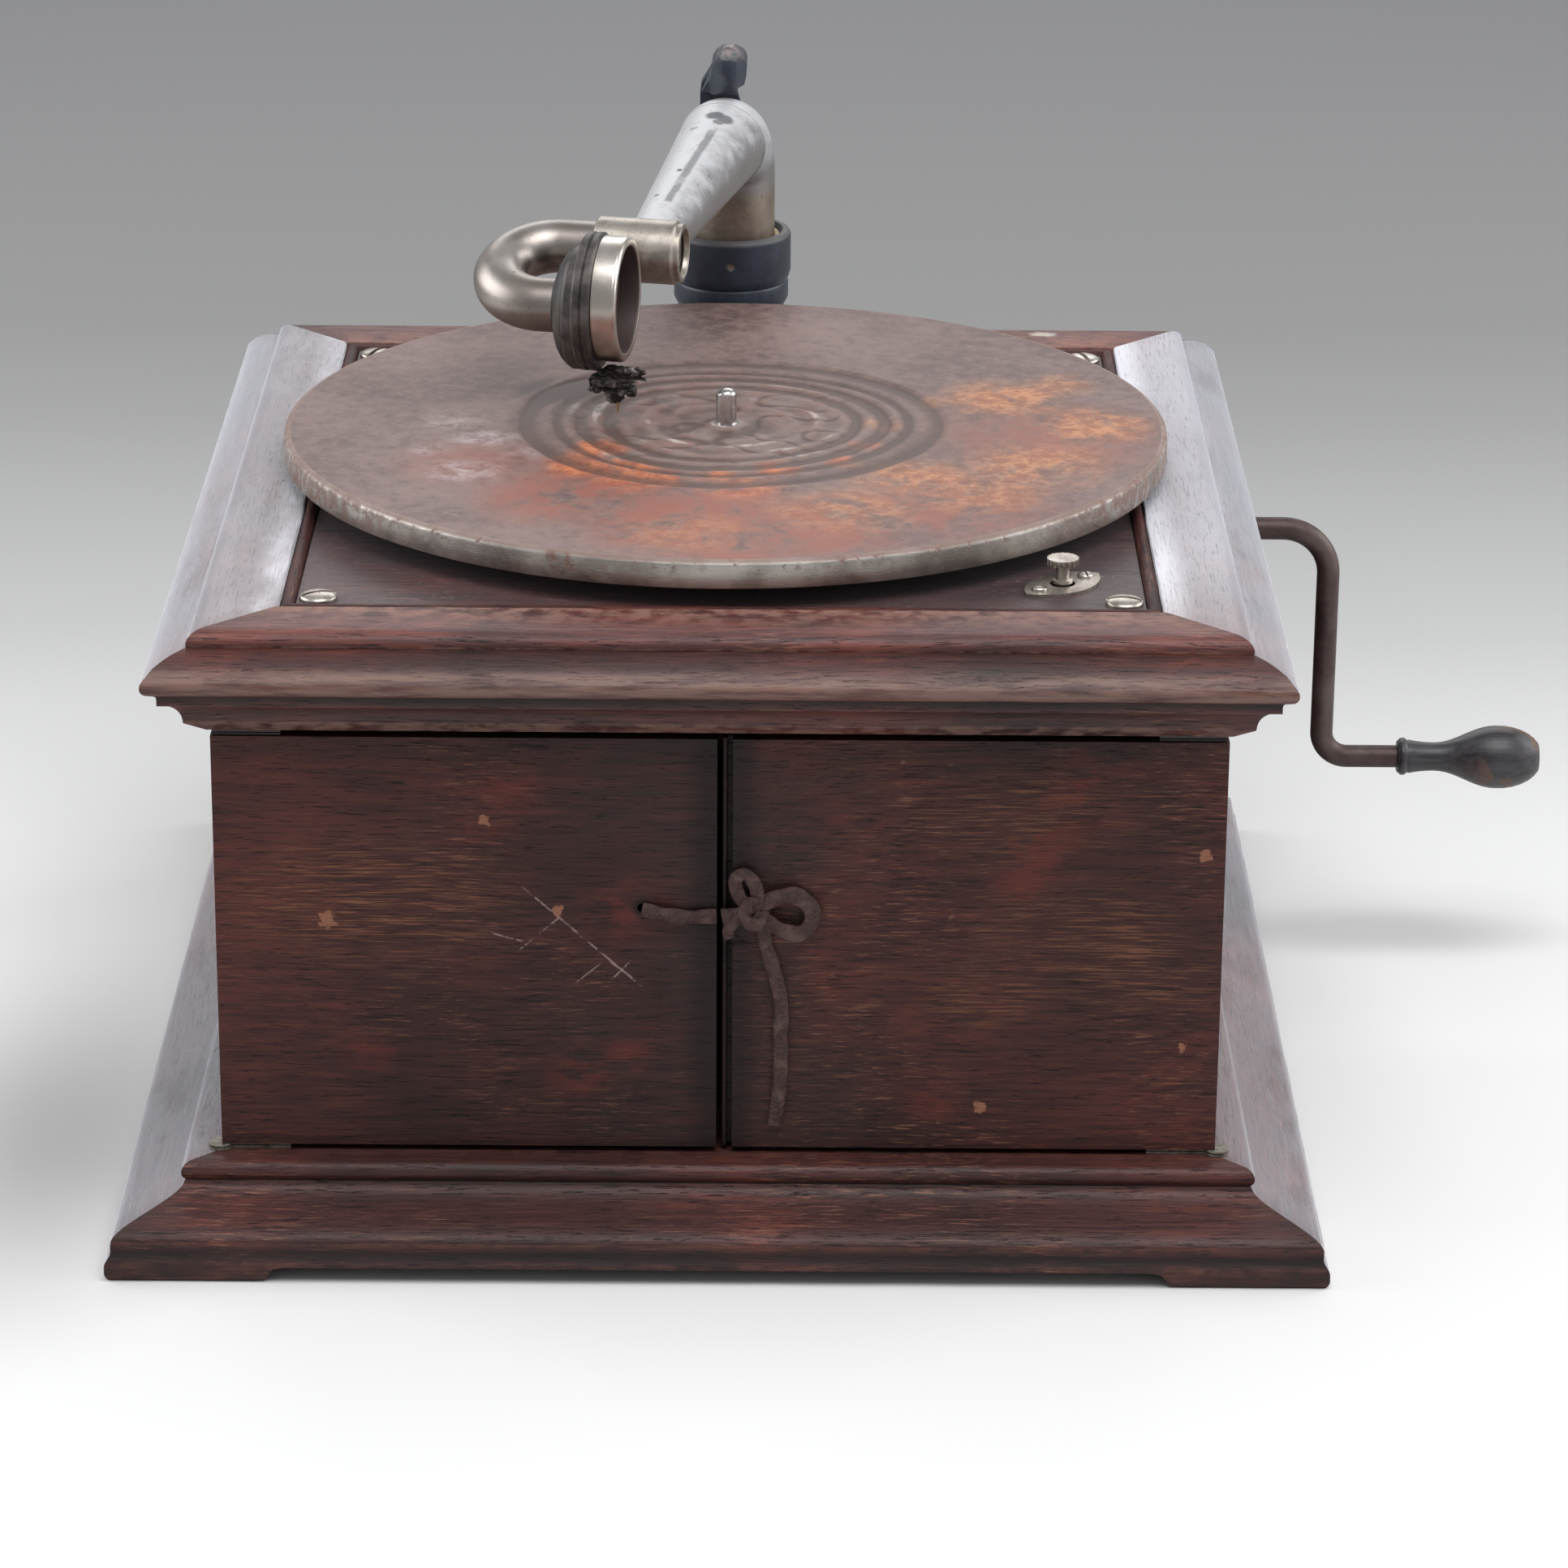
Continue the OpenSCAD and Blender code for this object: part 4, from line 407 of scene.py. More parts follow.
# The plinth's side lengths carry a painted lilac glare mixed with dust bloom.
glare_painted_oak = oak("glare_painted_oak_of_the_sides", "Y", light=1.4, dust_and_glare=0.34, shine=0.9, gloss=0.4)
plinth_oak = oak("plinth_oak", "X", light=1.4, gloss=0.42, shine=0.35)
# Darker towards the bottom of the feet, broken into streaks.
foot_streaks = plinth_oak.place.scaled(1, 5, 8).noise(30, 5, 0.65)
darker_at_the_foot = plinth_oak.place.part("Z").fade(0.014, 0.006) * foot_streaks.fade(0.66, 0.42)
plinth_oak.paint(darker_at_the_foot * 0.7, (0.01, 0.006, 0.006))


def arc(x, z, radius, start, end, steps):
    angles = [math.radians(start + (end - start) * i / steps) for i in range(steps + 1)]
    return [(x + radius * math.cos(a), z + radius * math.sin(a)) for a in angles]


eased_from = 24


def eased(outline, radius):
    """Rounds each corner of a closed outline, as an old arris is rounded by wear."""
    made = []
    n = len(outline)
    for i in range(n):
        before, here, after = (Vector(outline[k % n]) for k in (i - 1, i, i + 1))
        back, ahead = before - here, after - here
        bend = math.degrees(math.pi - back.angle(ahead)) if back.length and ahead.length else 0
        if abs(bend) < eased_from:
            made.append((here, 0.0, 0.0))
            continue
        cut = min(radius, 0.3 * back.length, 0.3 * ahead.length)
        first, last = here + back.normalized() * cut, here + ahead.normalized() * cut
        turn = ahead.x * back.y - ahead.y * back.x
        for t in (0, 0.5, 1):
            spot = first * (1 - t) ** 2 + here * 2 * t * (1 - t) + last * t * t
            made.append((spot, 1.0 if turn > 0 else 0.0, 0.0 if turn > 0 else 1.0))
    return made


def turned_to(side, along, out, z):
    """A point on the frame: along it, out from the face of the case, and up."""
    if side == "front":
        return Vector((along, -case_half["y"] - out, z))
    if side == "rear":
        return Vector((-along, case_half["y"] + out, z))
    if side == "left":
        return Vector((-case_half["x"] - out, -along, z))
    return Vector((case_half["x"] + out, along, z))


worn_arris = 0.0009
mitre_dirt = 0.012
section_step = 0.003
dent_depth = 0.00022


def moulding(name, side, outline, finish, replaces, lift=None, span=None):
    """One mitred length of a moulding, with its outline as distance out and height."""
    half = case_half["x" if side in ("front", "rear") else "y"]
    rounded = eased(outline, worn_arris)
    count = int(2 * half / section_step)
    runs = span or [(-1.0, 1.0)]
    points, faces, wear, crease_shade_and_dirt = [], [], [], []
    for low, high in runs:
        base = len(points)
        sections = count if len(runs) == 1 else count // 2
        for k in range(sections + 1):
            share = k / sections
            for spot, worn, in_crease in rounded:
                left, right = (end * (half + (spot.x if abs(end) == 1 else 0)) for end in (low, high))
                along = left + (right - left) * share
                z = spot.y
                if lift:
                    z = max(z, lift(abs(along)))
                seed = Vector((along * 60, spot.x * 240 + z * 190, hash_of(name)))
                dent = dent_depth * worn * (noise.noise(seed) - 0.35)
                points.append(turned_to(side, along, spot.x + min(dent, 0.0), max(z + dent * 0.6, 0.0)))
                # Hollow corners of the outline carry painted shade and dirt; the ends by the mitres darken
                # too.
                ends = max(0.0, 1 - (half + spot.x - abs(along)) / mitre_dirt)
                wear.append(worn)
                crease_shade_and_dirt.append(in_crease * 0.9 + ends * 0.25)
        n = len(rounded)
        faces += band(sections + 1, n, base)
        faces.append([base + i for i in range(n)])
        faces.append([base + sections * n + i for i in range(n)][::-1])
    return add_piece(name, points, faces, "chassis", finish, replaces, 40,
                     {"wear": wear, "crease_shade_and_dirt": crease_shade_and_dirt})


def hash_of(name):
    return sum(ord(letter) * (i + 1) for i, letter in enumerate(name)) % 97 * 1.7


def foot_lift(half):
    def height(along):
        into = half + foot_out - foot_length - along
        if into <= 0:
            return 0.0
        return math.sqrt(foot_cut ** 2 - max(foot_cut - into, 0.0) ** 2)
    return height


ogee = [(foot_step + (ogee_top_out - foot_step) * (t - 0.12 * math.sin(math.tau * t)),
         ogee_foot_z + (ogee_top_z - ogee_foot_z) * t) for t in [i / 28 for i in range(29)]]
sides = ("front", "rear", "left", "right")
plinth_outline = [(-side_board, 0.0), (foot_out - 0.0012, 0.0), (foot_out, 0.0022), (foot_out, 0.006),
                  (foot_step, 0.009), *ogee,
                  *arc(ogee_top_out - 0.0023, ledge_z - foot_bead, foot_bead, -55, 90, 12),
                  (-side_board, ledge_z)]
for side in sides:
    across = side in ("front", "rear")
    lift = foot_lift(case_half["x" if across else "y"])
    moulding("plinth_moulding_" + side, side, plinth_outline, plinth_oak if across else glare_painted_oak,
             ["plinth_" + side], lift)


# Softened boards
# Boards, doors, screws and castings keep the shape of the frame, with their arrises
# eased a little and their curves shaded smooth.
sharp_angle = math.radians(42)
smoother = bpy.data.node_groups.new("smooth_faces", "GeometryNodeTree")
smoother.interface.new_socket("Geometry", in_out="INPUT", socket_type="NodeSocketGeometry")
smoother.interface.new_socket("Geometry", in_out="OUTPUT", socket_type="NodeSocketGeometry")
enter = smoother.nodes.new("NodeGroupInput")
leave = smoother.nodes.new("NodeGroupOutput")
all_faces = smoother.nodes.new("GeometryNodeSetShadeSmooth")
sharp_edges = smoother.nodes.new("GeometryNodeSetShadeSmooth")
sharp_edges.domain = "EDGE"
sharp_edges.inputs["Shade Smooth"].default_value = False
edge_angle = smoother.nodes.new("GeometryNodeInputMeshEdgeAngle")
steep = smoother.nodes.new("FunctionNodeCompare")
steep.data_type = "FLOAT"
steep.operation = "GREATER_THAN"
steep.inputs[1].default_value = sharp_angle
for output, taken in ((enter.outputs[0], all_faces.inputs["Geometry"]),
                      (all_faces.outputs[0], sharp_edges.inputs["Geometry"]),
                      (edge_angle.outputs["Unsigned Angle"], steep.inputs[0]),
                      (steep.outputs[0], sharp_edges.inputs["Selection"]),
                      (sharp_edges.outputs[0], leave.inputs[0])):
    smoother.links.new(output, taken)


def dress(names, finish, ease=0.0):
    """Gives parts of the frame their finish, smooth curves and eased arrises."""
    for name in names.split():
        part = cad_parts[name]
        part.data.materials.clear()
        part.data.materials.append(finish.material)
        part.modifiers.new("weld", "WELD").merge_threshold = 0.00002
        if ease:
            bevel = part.modifiers.new("ease", "BEVEL")
            bevel.width = ease
            bevel.segments = 2
            bevel.limit_method = "ANGLE"
            bevel.angle_limit = sharp_angle
            bevel.use_clamp_overlap = True
        part.modifiers.new("smooth", "NODES").node_group = smoother
        if ease:
            part.modifiers.new("even", "WEIGHTED_NORMAL").keep_sharp = True


board_oak = oak("old_board_oak", "X", light=1.1, streaks=0.3, gloss=0.6)
dress("bottom_board case_back board_cleats", board_oak, 0.0006)
dress("case_left", oak_y, 0.0006)
dress("case_right", oak_y)


# The two doors
# Each door is one wide oak board with the grain across, with painted shade where the two meet
# and under the cornice, with red glows in the stain and with scratches; the right one has a bead
# along its meeting edge.
door_oak = oak("door_oak", "X", light=1.12, streaks=0.6, shine=0.25)
dress("door_left door_right", door_oak, 0.0006)


def spot(place, x, y, z, inner, outer):
    """1 near a point of the object, 0 from the outer distance on."""
    return place.distance((x, y, z)).fade(outer, inner)


def spots(place, inner, rows):
    """Several round spots, each given as x, y, z, radius and weight."""
    total = None
    for x, y, z, reach, weight in rows:
        one = spot(place, x, y, z, reach * inner, reach) * weight
        total = one if total is None else total.at_least(one)
    return total


def line(place, start, end, width, seen=(0, 1, 0)):
    """1 on a thin line between two points, as seen along a direction, 0 beside it."""
    start, end = Vector(start), Vector(end)
    along = (end - start).normalized()
    across = along.cross(Vector(seen)).normalized()
    shifted = place.moved(tuple(-start))
    run, off = (shifted.vector("DOT_PRODUCT", tuple(way), 1) for way in (along, across))
    length = (end - start).length
    soft = 0.001
    inside = run.fade(-soft, soft) * run.fade(length + soft, length - soft)
    return inside * off.math("ABSOLUTE").fade(width, width * 0.4)


place = door_oak.place
face = place.warped(30, 0.003)
# Painted shade on both doors beside the gap where they meet.
gap_side_shade = (place.part("X").math("ABSOLUTE") - 0.002).fade(0.062, 0.03)
gap_side_shade = gap_side_shade * place.noise(22, 3, 0.5).fade(0.36, 0.56)
door_oak.paint(gap_side_shade * 0.45, (0.024, 0.0165, 0.0165))
hairs = place.warped(10, 0.006).scaled(1, 20, 34).noise(55, 3, 0.55)
wide_face = place.warped(20, 0.012).scaled(0.5, 1, 1)
for x, z, reach, amount in ((-0.112, 0.12, 0.03, 1.0), (0.1, 0.15, 0.024, 0.7), (0.115, 0.112, 0.022, 0.7),
                            (0.085, 0.088, 0.016, 0.7), (0.135, 0.098, 0.02, 0.7)):
    combed = spot(wide_face, x * 0.5, door_face, z, reach * 0.3, reach)
    door_oak.paint(combed * 0.24 * amount, (0.085, 0.029, 0.017))
    door_oak.paint(combed * hairs.fade(0.54, 0.61) * 0.66 * amount, (0.215, 0.086, 0.045))
    door_oak.paint(combed * hairs.fade(0.45, 0.38) * 0.5, (0.01, 0.006, 0.006))
glow_places = [(-0.0669, 0.16, 0.011), (-0.077, 0.148, 0.01), (0.0373, 0.148, 0.01), (0.12, 0.16, 0.018),
               (-0.032, 0.118, 0.014), (-0.046, 0.06, 0.012), (-0.03, 0.066, 0.009), (0.105, 0.142, 0.014),
               (-0.115, 0.07, 0.012), (0.07, 0.05, 0.01), (0.098, 0.129, 0.012)]
broken = place.scaled(1, 3, 2.2).noise(70, 4, 0.6).fade(0.4, 0.62)
for x, z, reach in glow_places:
    glow = spot(face, x, door_face, z, reach * 0.2, reach * 1.3) * broken
    door_oak.paint(glow * 0.6, (0.115, 0.023, 0.017))
# Painted deep shade right at the meeting gap.
meeting_gap_shade = (place.part("X") - 0.001).math("ABSOLUTE").fade(0.016, 0.0045)
door_oak.paint(meeting_gap_shade * 0.75, (0.006, 0.003, 0.003))
# Painted shade along the top of the doors, under the cornice.
shade_under_cornice = place.part("Z").fade(0.16, 0.176)
door_oak.paint(shade_under_cornice * 0.35, (0.01, 0.006, 0.006))
scratches = [((-0.0646, 0.1259), (-0.0254, 0.0907), 0.00045), ((-0.0648, 0.1032), (-0.0516, 0.1147), 0.0004),
             ((-0.0352, 0.099), (-0.0286, 0.0938), 0.0005), ((-0.0346, 0.0932), (-0.029, 0.0992), 0.0004),
             ((-0.0735, 0.1088), (-0.064, 0.1062), 0.0004), ((-0.048, 0.0905), (-0.0385, 0.0985), 0.0003)]
ragged = place.noise(420, 3).fade(0.38, 0.55)
for start, end, width in scratches:
    cut = line(place, (start[0], door_face, start[1]), (end[0], door_face, end[1]), width)
    door_oak.paint(cut * ragged * 0.8, (0.27, 0.19, 0.175))
for x, z, reach in [(-0.127, 0.1133, 0.0042), (0.1571, 0.1374, 0.0032), (0.0858, 0.0489, 0.0025),
                    (-0.052, 0.117, 0.0022), (0.151, 0.07, 0.0022), (-0.076, 0.148, 0.002)]:
    nick = spot(place.warped(330, 0.006), x, door_face, z, reach * 0.6, reach * 0.85)
    door_oak.paint(nick * 0.85, (0.27, 0.115, 0.068))
hole_rim = spot(place, hole_x, door_face, lace_z, 0.0022, 0.0042)
door_oak.paint(hole_rim * 0.8, (0.008, 0.004, 0.004))

brass = Finish("dull_brass")
tarnish = brass.place.noise(420, 4)
# The upper hinge leaves sit in the shade of the top gap: they are painted near black as painted shade and
# made less metallic.
upper_leaf_shade = brass.place.part("Z").fade(0.1, 0.12)
brass.set(
    Base_Color=mix(upper_leaf_shade * 0.93, tarnish.ramp((0.3, (0.12, 0.11, 0.09)), (0.7, (0.44, 0.41, 0.35))),
                   (0.012, 0.008, 0.007)),
    Metallic=0.9 - upper_leaf_shade * 0.9,
    Roughness=0.42 + tarnish * 0.2,
)
dress("hinge_plates door_left_plates door_right_plates", brass, 0.00015)


# The cornice
# Four mitred lengths of oak: a cavetto, a fillet, a rounded nosing and a slope that
# runs up under the top rails. The rear length is cut for the sound conduit.
soffit_z = 0.1783
cornice_z = 0.2081
fillet_z = soffit_z + 0.0049
cavetto_radius = 0.0083
nosing_out = 0.0194
nosing_radius = 0.0032
cornice_outline = [(-side_board, soffit_z), (0.0, soffit_z), (0.0072, fillet_z),
                   *arc(0.0155, fillet_z, cavetto_radius, 172, 97, 12),
                   (0.0146, soffit_z + 0.0134), (0.0146, soffit_z + 0.0164),
                   *arc(nosing_out - nosing_radius, soffit_z + 0.0206, nosing_radius, -60, 45, 12),
                   (0.0154, cornice_z - 0.0037), (0.0122, cornice_z - 0.0019),
                   (0.0092, cornice_z - 0.0007), (0.0062, cornice_z), (-side_board, cornice_z)]
cornice_oak = oak("cornice_oak", "X", light=1.25, worn=0.5, streaks=0.3, gloss=0.42, shine=0.4,
                  rub=(0.24, 0.135, 0.105))
cornice_height = cornice_oak.place.part("Z")
# A pale band on the nosing: a painted highlight broken up by wear.
nosing_band = cornice_height.fade(0.195, 0.1972) * cornice_height.fade(0.2052, 0.2025)
nosing_wear_and_highlight = cornice_oak.place.scaled(1, 6, 9).noise(34, 5, 0.65).fade(0.34, 0.6)
cornice_oak.paint(nosing_band * (nosing_wear_and_highlight * 0.52 + 0.1), (0.25, 0.146, 0.118))
# The cornice's side lengths carry a painted lilac glare mixed with dust bloom.
cornice_side = oak("hazed_oak_of_the_cornice", "Y", light=1.6, dust_and_glare=0.46, shine=0.9, gloss=0.38)
conduit_half = 0.0195
slot_share = conduit_half / case_half["x"]
rear_span = [(-1.0, -slot_share), (slot_share, 1.0)]
for side in sides:
    across = side in ("front", "rear")
    span = rear_span if side == "rear" else None
    moulding("cornice_moulding_" + side, side, cornice_outline, cornice_oak if across else cornice_side,
             ["cornice_" + side], span=span)


# The top rails and their beading
# Four flat rails with an ovolo edge, mitred at the corners, and a small round bead that
# frames the sunk motor board.
top_z = 0.2133
rail_in = 0.0213
bead_width = 0.005
ovolo_out = 0.0058
ovolo_drop = 0.0042
bead_sunk = 0.0003
board_z = top_z - 0.0018
board_low_z = board_z - 0.012
top_oak_x = oak("top_oak_across", "X", light=2.35, worn=0.7, streaks=0.35, gloss=0.42, shine=0.4,
                rub=(0.3, 0.17, 0.135))
# The side rails carry a painted lilac glare mixed with dust bloom.
top_oak_y = oak("top_oak_front_to_back", "Y", light=1.9, worn=0.5, streaks=0.35, gloss=0.4, dust_and_glare=0.34,
                shine=0.9)
place = top_oak_y.place
rail_cloud = place.warped(40, 0.01).scaled(2, 1, 1).noise(20, 4, 0.6)
rail_front = place.part("Y").fade(-0.085, -0.175) * (rail_cloud * 1.2).at_most(1.0)
top_oak_y.paint(rail_front * 0.85, (0.125, 0.062, 0.06))
# Painted shade over the left rail and a painted pale glare over the right one, away from its front end.
shaded_rail = place.part("X").fade(0.05, -0.05)
top_oak_y.paint(shaded_rail * rail_cloud.fade(0.3, 0.6) * 0.6, (0.085, 0.055, 0.062))
right_rail_glare = place.part("X").fade(-0.05, 0.05) * place.part("Y").fade(-0.16, -0.06)
top_oak_y.paint(right_rail_glare * 0.35, (0.56, 0.55, 0.61))
bead_oak = {"X": oak("bead_oak_across", "X", light=1.3, worn=0.8, rub=(0.24, 0.16, 0.13)),
            "Y": oak("bead_oak_front_to_back", "Y", light=1.3, worn=0.9, rub=(0.36, 0.3, 0.27))}
chip = spot(top_oak_x.place.warped(240, 0.006).scaled(0.55, 1, 1), 0.0645, 0.168, top_z, 0.001, 0.004)
top_oak_x.paint(chip * 0.8, (0.52, 0.47, 0.41))
rail_outline = [(-rail_in, cornice_z), (ovolo_out, cornice_z),
                *[(ovolo_out * math.cos(a), top_z - ovolo_drop + ovolo_drop * math.sin(a))
                  for a in [math.pi / 2 * i / 10 for i in range(11)]], (-rail_in, top_z)]
bead_outline = [(-rail_in - bead_width, board_low_z), (-rail_in, board_low_z),
                *arc(-rail_in - bead_width / 2, top_z - bead_width / 2 - bead_sunk, bead_width / 2,
                     0, 180, 14)]
for side in sides:
    across = side in ("front", "rear")
    rail_finish = top_oak_x if across else top_oak_y
    span = rear_span if side == "rear" else None
    moulding("top_rail_" + side, side, rail_outline, rail_finish, ["top_rails"], span=span)
    moulding("beading_" + side, side, bead_outline, bead_oak["X" if across else "Y"],
             ["board_beading"])


# The motor board and the regulator
# A sunk board, greyed by oil and dust, held by four big slotted screws of worn nickel, with
# the plate and the knob of the speed regulator on it.
# The motor board also has a faint painted glare mixed with its dust.
board_finish = oak("motor_board_oak", "X", light=1.15, streaks=0.2, gloss=0.42, dust_and_glare=0.04, shine=0.4)
dust = board_finish.place.warped(120, 0.004).noise(330, 6, 0.75)
smear = board_finish.place.warped(40, 0.012).scaled(1, 2.5, 1).noise(34, 4, 0.6)
board_finish.paint(dust.fade(0.54, 0.66) * smear.fade(0.42, 0.62) * 0.55, (0.17, 0.135, 0.14))
cracks = board_finish.place.warped(14, 0.008).scaled(1, 30, 1).noise(9, 2, 0.4).fade(0.685, 0.7)
board_finish.paint(cracks * 0.8, (0.004, 0.003, 0.003))
dress("motor_board", board_finish, 0.0005)


def metal(name, dark, light, rough=0.3, grain=240, speck=0.0, speck_colour=(0.05, 0.03, 0.02), metallic=1.0):
    """A bare or plated metal with clouds of tarnish, specks of corrosion and shallow dents."""
    finish = Finish(name)
    place = finish.place
    cloud = place.noise(grain * 0.25, 4, 0.6, 0.3)
    fine = place.noise(grain * 4, 3, 0.6)
    colour = mix((cloud * 0.75 + fine * 0.25).fade(0.34, 0.66), dark, light)
    start = 0.66 - speck * 0.16
    rot = place.warped(grain * 2, 0.002).noise(grain * 1.6, 4, 0.7).fade(start, start + 0.08)
    rot = rot * (1.0 if speck else 0.0)
    finish.set(
        Base_Color=mix(rot * 0.85, colour, speck_colour),
        Metallic=metallic - rot * 0.6 * metallic,
        Roughness=rough + fine * 0.08 + cloud * 0.1 + rot * 0.3,
    )
    finish.bump(cloud * 0.6 + fine * 0.15 - rot * 0.3, 0.00025, 0.5)
    return finish


worn_nickel = metal("worn_nickel", (0.3, 0.26, 0.22), (0.62, 0.58, 0.53), 0.26, 300, 0.35)
plain_steel = metal("plain_steel", (0.2, 0.185, 0.17), (0.4, 0.385, 0.36), 0.34, 220, 0.25)
worked_brass = metal("worked_brass", (0.21, 0.145, 0.07), (0.42, 0.31, 0.155), 0.32, 200, 0.3,
                     (0.07, 0.04, 0.02))
black_iron = metal("black_iron", (0.012, 0.013, 0.016), (0.03, 0.031, 0.036), 0.42, 160, 0.15,
                   (0.07, 0.03, 0.02), metallic=0.0)
dress("motor_board_screws", worn_nickel, 0.0003)
dress("regulator_plate", worn_nickel, 0.00015)
dress("regulator_knob", worn_nickel, 0.0002)


# The turntable
# A plate pressed from sheet steel with a turned-down rim. Its covering has gone: brown and
# mauve rust over all, orange where it is fresh, and ripples round the middle.
spindle_y = 0.0035
platter_z = 0.2285
bore_radius = 0.00458
hub_radius = 0.0095
pressed_radius = 0.088
flat_radius = 0.1502
under_radius = 0.1497
plate_radius = 0.1524
under_z = -0.0016
ripples = [(0.0205, 0.0021, 0.55), (0.0292, 0.0022, 0.65), (0.0383, 0.0023, 0.85), (0.0473, 0.0023, 0.9),
           (0.057, 0.0024, 1.0), (0.0645, 0.002, 0.85), (0.0765, 0.0026, 1.0)]
dent_at = Vector((-0.0618, 0.0412, 0))
bulge_at = Vector((-0.0495, 0.0169, 0))


def plate_height(x, y):
    """How far the plate lies below its flat height, in metres and never above it."""
    radius = math.hypot(x, y)
    turn = math.atan2(y, x)
    wobble = 0.0022 * math.sin(turn + 0.6) + 0.0012 * math.sin(3 * turn + 1.1)
    sunk = 1 - min(max((radius - 0.068) / 0.02, 0.0), 1.0)
    sunk = sunk * sunk * (3 - 2 * sunk)
    height = -0.00075 * sunk
    for ring, width, amount in ripples:
        broken = 0.6 + 0.75 * noise.noise(Vector((math.cos(turn) * 1.9, math.sin(turn) * 1.9, ring * 90)))
        stray = 0.0007 * noise.noise(Vector((x * 90, y * 90, ring * 50)))
        off = (radius - ring - wobble * sunk - stray) / width
        height += 0.0009 * amount * broken * math.exp(-off * off)
    for ring, width, amount in ripples[3:]:
        off = (radius - ring + 0.0042 - wobble * sunk) / (width * 1.1)
        height -= 0.0005 * amount * math.exp(-off * off)
    crumple = noise.fractal(Vector((x * 115, y * 115, 0.4)), 0.9, 2.1, 3)
    height += 0.0003 * crumple * math.exp(-(radius / 0.05) ** 4)
    folds = abs(noise.noise(Vector((x * 62, y * 62, 3.3))))
    height -= 0.00055 * max(0.0, 1 - folds / 0.1) * math.exp(-(radius / 0.055) ** 4)
    here = Vector((x, y, 0))
    for centre, reach, depth in ((dent_at, 0.016, -0.0011), (bulge_at, 0.011, 0.0007)):
        off = (here - centre).length / reach
        height += depth * math.exp(-off * off)
    slope = noise.noise(Vector((x * 22, y * 22, 7.0)))
    height -= 0.00012 * (1 + slope)
    return max(min(height, 0.0), -0.0014)


plate_turns = 300
plate_radii = ([bore_radius + (hub_radius - bore_radius) * i / 4 for i in range(4)]
               + [hub_radius + (pressed_radius - hub_radius) * i / 108 for i in range(108)]
               + [pressed_radius + (flat_radius - pressed_radius) * i / 26 for i in range(27)])


def turntable_ring(radius, height, dents=0.0):
    """A ring of points about the spindle, with small dents in its radius."""
    ring_points = []
    for k in range(plate_turns):
        turn = math.tau * k / plate_turns
        around = Vector((math.cos(turn) * 7, math.sin(turn) * 7, height * 200))
        reach = radius + dents * (noise.noise(around) - 0.6)
        ring_points.append((reach * math.cos(turn), spindle_y + reach * math.sin(turn), platter_z + height))
    return ring_points


plate_points, plate_low = [], []
for ring in plate_radii:
    for k in range(plate_turns):
        turn = math.tau * k / plate_turns
        x, y = ring * math.cos(turn), ring * math.sin(turn)
        height = plate_height(x, y) if ring < under_radius else 0.0
        height *= min(1.0, (ring - bore_radius) / 0.003) * min(1.0, (flat_radius - ring) / 0.004)
        plate_points.append((x, spindle_y + y, platter_z + height))
        plate_low.append(-height / 0.0012)
under = [(under_radius, under_z), (0.016, under_z), (0.014, -0.0036), (0.014, -0.01),
         (bore_radius, -0.01), (bore_radius, 0.0)]
for ring, height in under:
    plate_points += turntable_ring(ring, height)
    plate_low += [0.6] * plate_turns
plate_faces = (band(len(plate_radii), plate_turns)
               + band(len(under), plate_turns, len(plate_radii) * plate_turns))

rust = Finish("rusted_plate")
place = rust.place
flat = place.warped(38, 0.012)
stirred = place.warped(120, 0.004)
low = rust.mark("low")
blotch = place.noise(17, 5, 0.6, 0.5)
grit = place.noise(170, 8, 0.75)
streak = place.warped(70, 0.01).scaled(1, 0.75, 1).noise(58, 9, 0.74, 0.6)
rust.set(Base_Color=mix(blotch.fade(0.34, 0.66), (0.108, 0.068, 0.061), (0.17, 0.112, 0.1)))
rust.paint(grit.fade(0.48, 0.58) * 0.45, (0.225, 0.15, 0.134))
rust.paint(grit.fade(0.45, 0.38) * 0.55, (0.066, 0.039, 0.034))
scrape = place.turned(0, 0, 35).scaled(1, 26, 1).noise(55, 3, 0.6)
rust.paint(scrape.fade(0.64, 0.69) * 0.35, (0.33, 0.26, 0.245))


def patch(rows, place=flat):
    """Several round spots on the plate, each given as x, y, radius and weight."""
    return spots(place, 0.25, [(x, y, platter_z, reach, weight) for x, y, reach, weight in rows])


red_zone = patch([(-0.0108, -0.1056, 0.052, 1), (-0.0516, -0.0804, 0.042, 1), (0.0291, -0.1133, 0.048, 0.9),
                  (0.0028, -0.135, 0.036, 0.8), (0.075, -0.09, 0.05, 0.8), (0.112, -0.01, 0.055, 0.7),
                  (-0.085, -0.045, 0.035, 0.5)])
rust.paint(red_zone * (blotch * 0.4 + streak * 0.7).fade(0.42, 0.6) * 0.9, (0.25, 0.07, 0.044))
rust.paint(red_zone * streak.fade(0.46, 0.36) * 0.45, (0.075, 0.03, 0.024))
scuffs = patch([(-0.0817, -0.0173, 0.016, 1), (-0.088, -0.0544, 0.018, 1), (-0.0939, 0.0014, 0.014, 0.8),
                (-0.07, -0.035, 0.012, 0.7), (-0.1, -0.03, 0.012, 0.6)])
rust.paint(scuffs * (streak * 0.6 + grit * 0.4).fade(0.44, 0.6) * 0.62, (0.42, 0.37, 0.375))
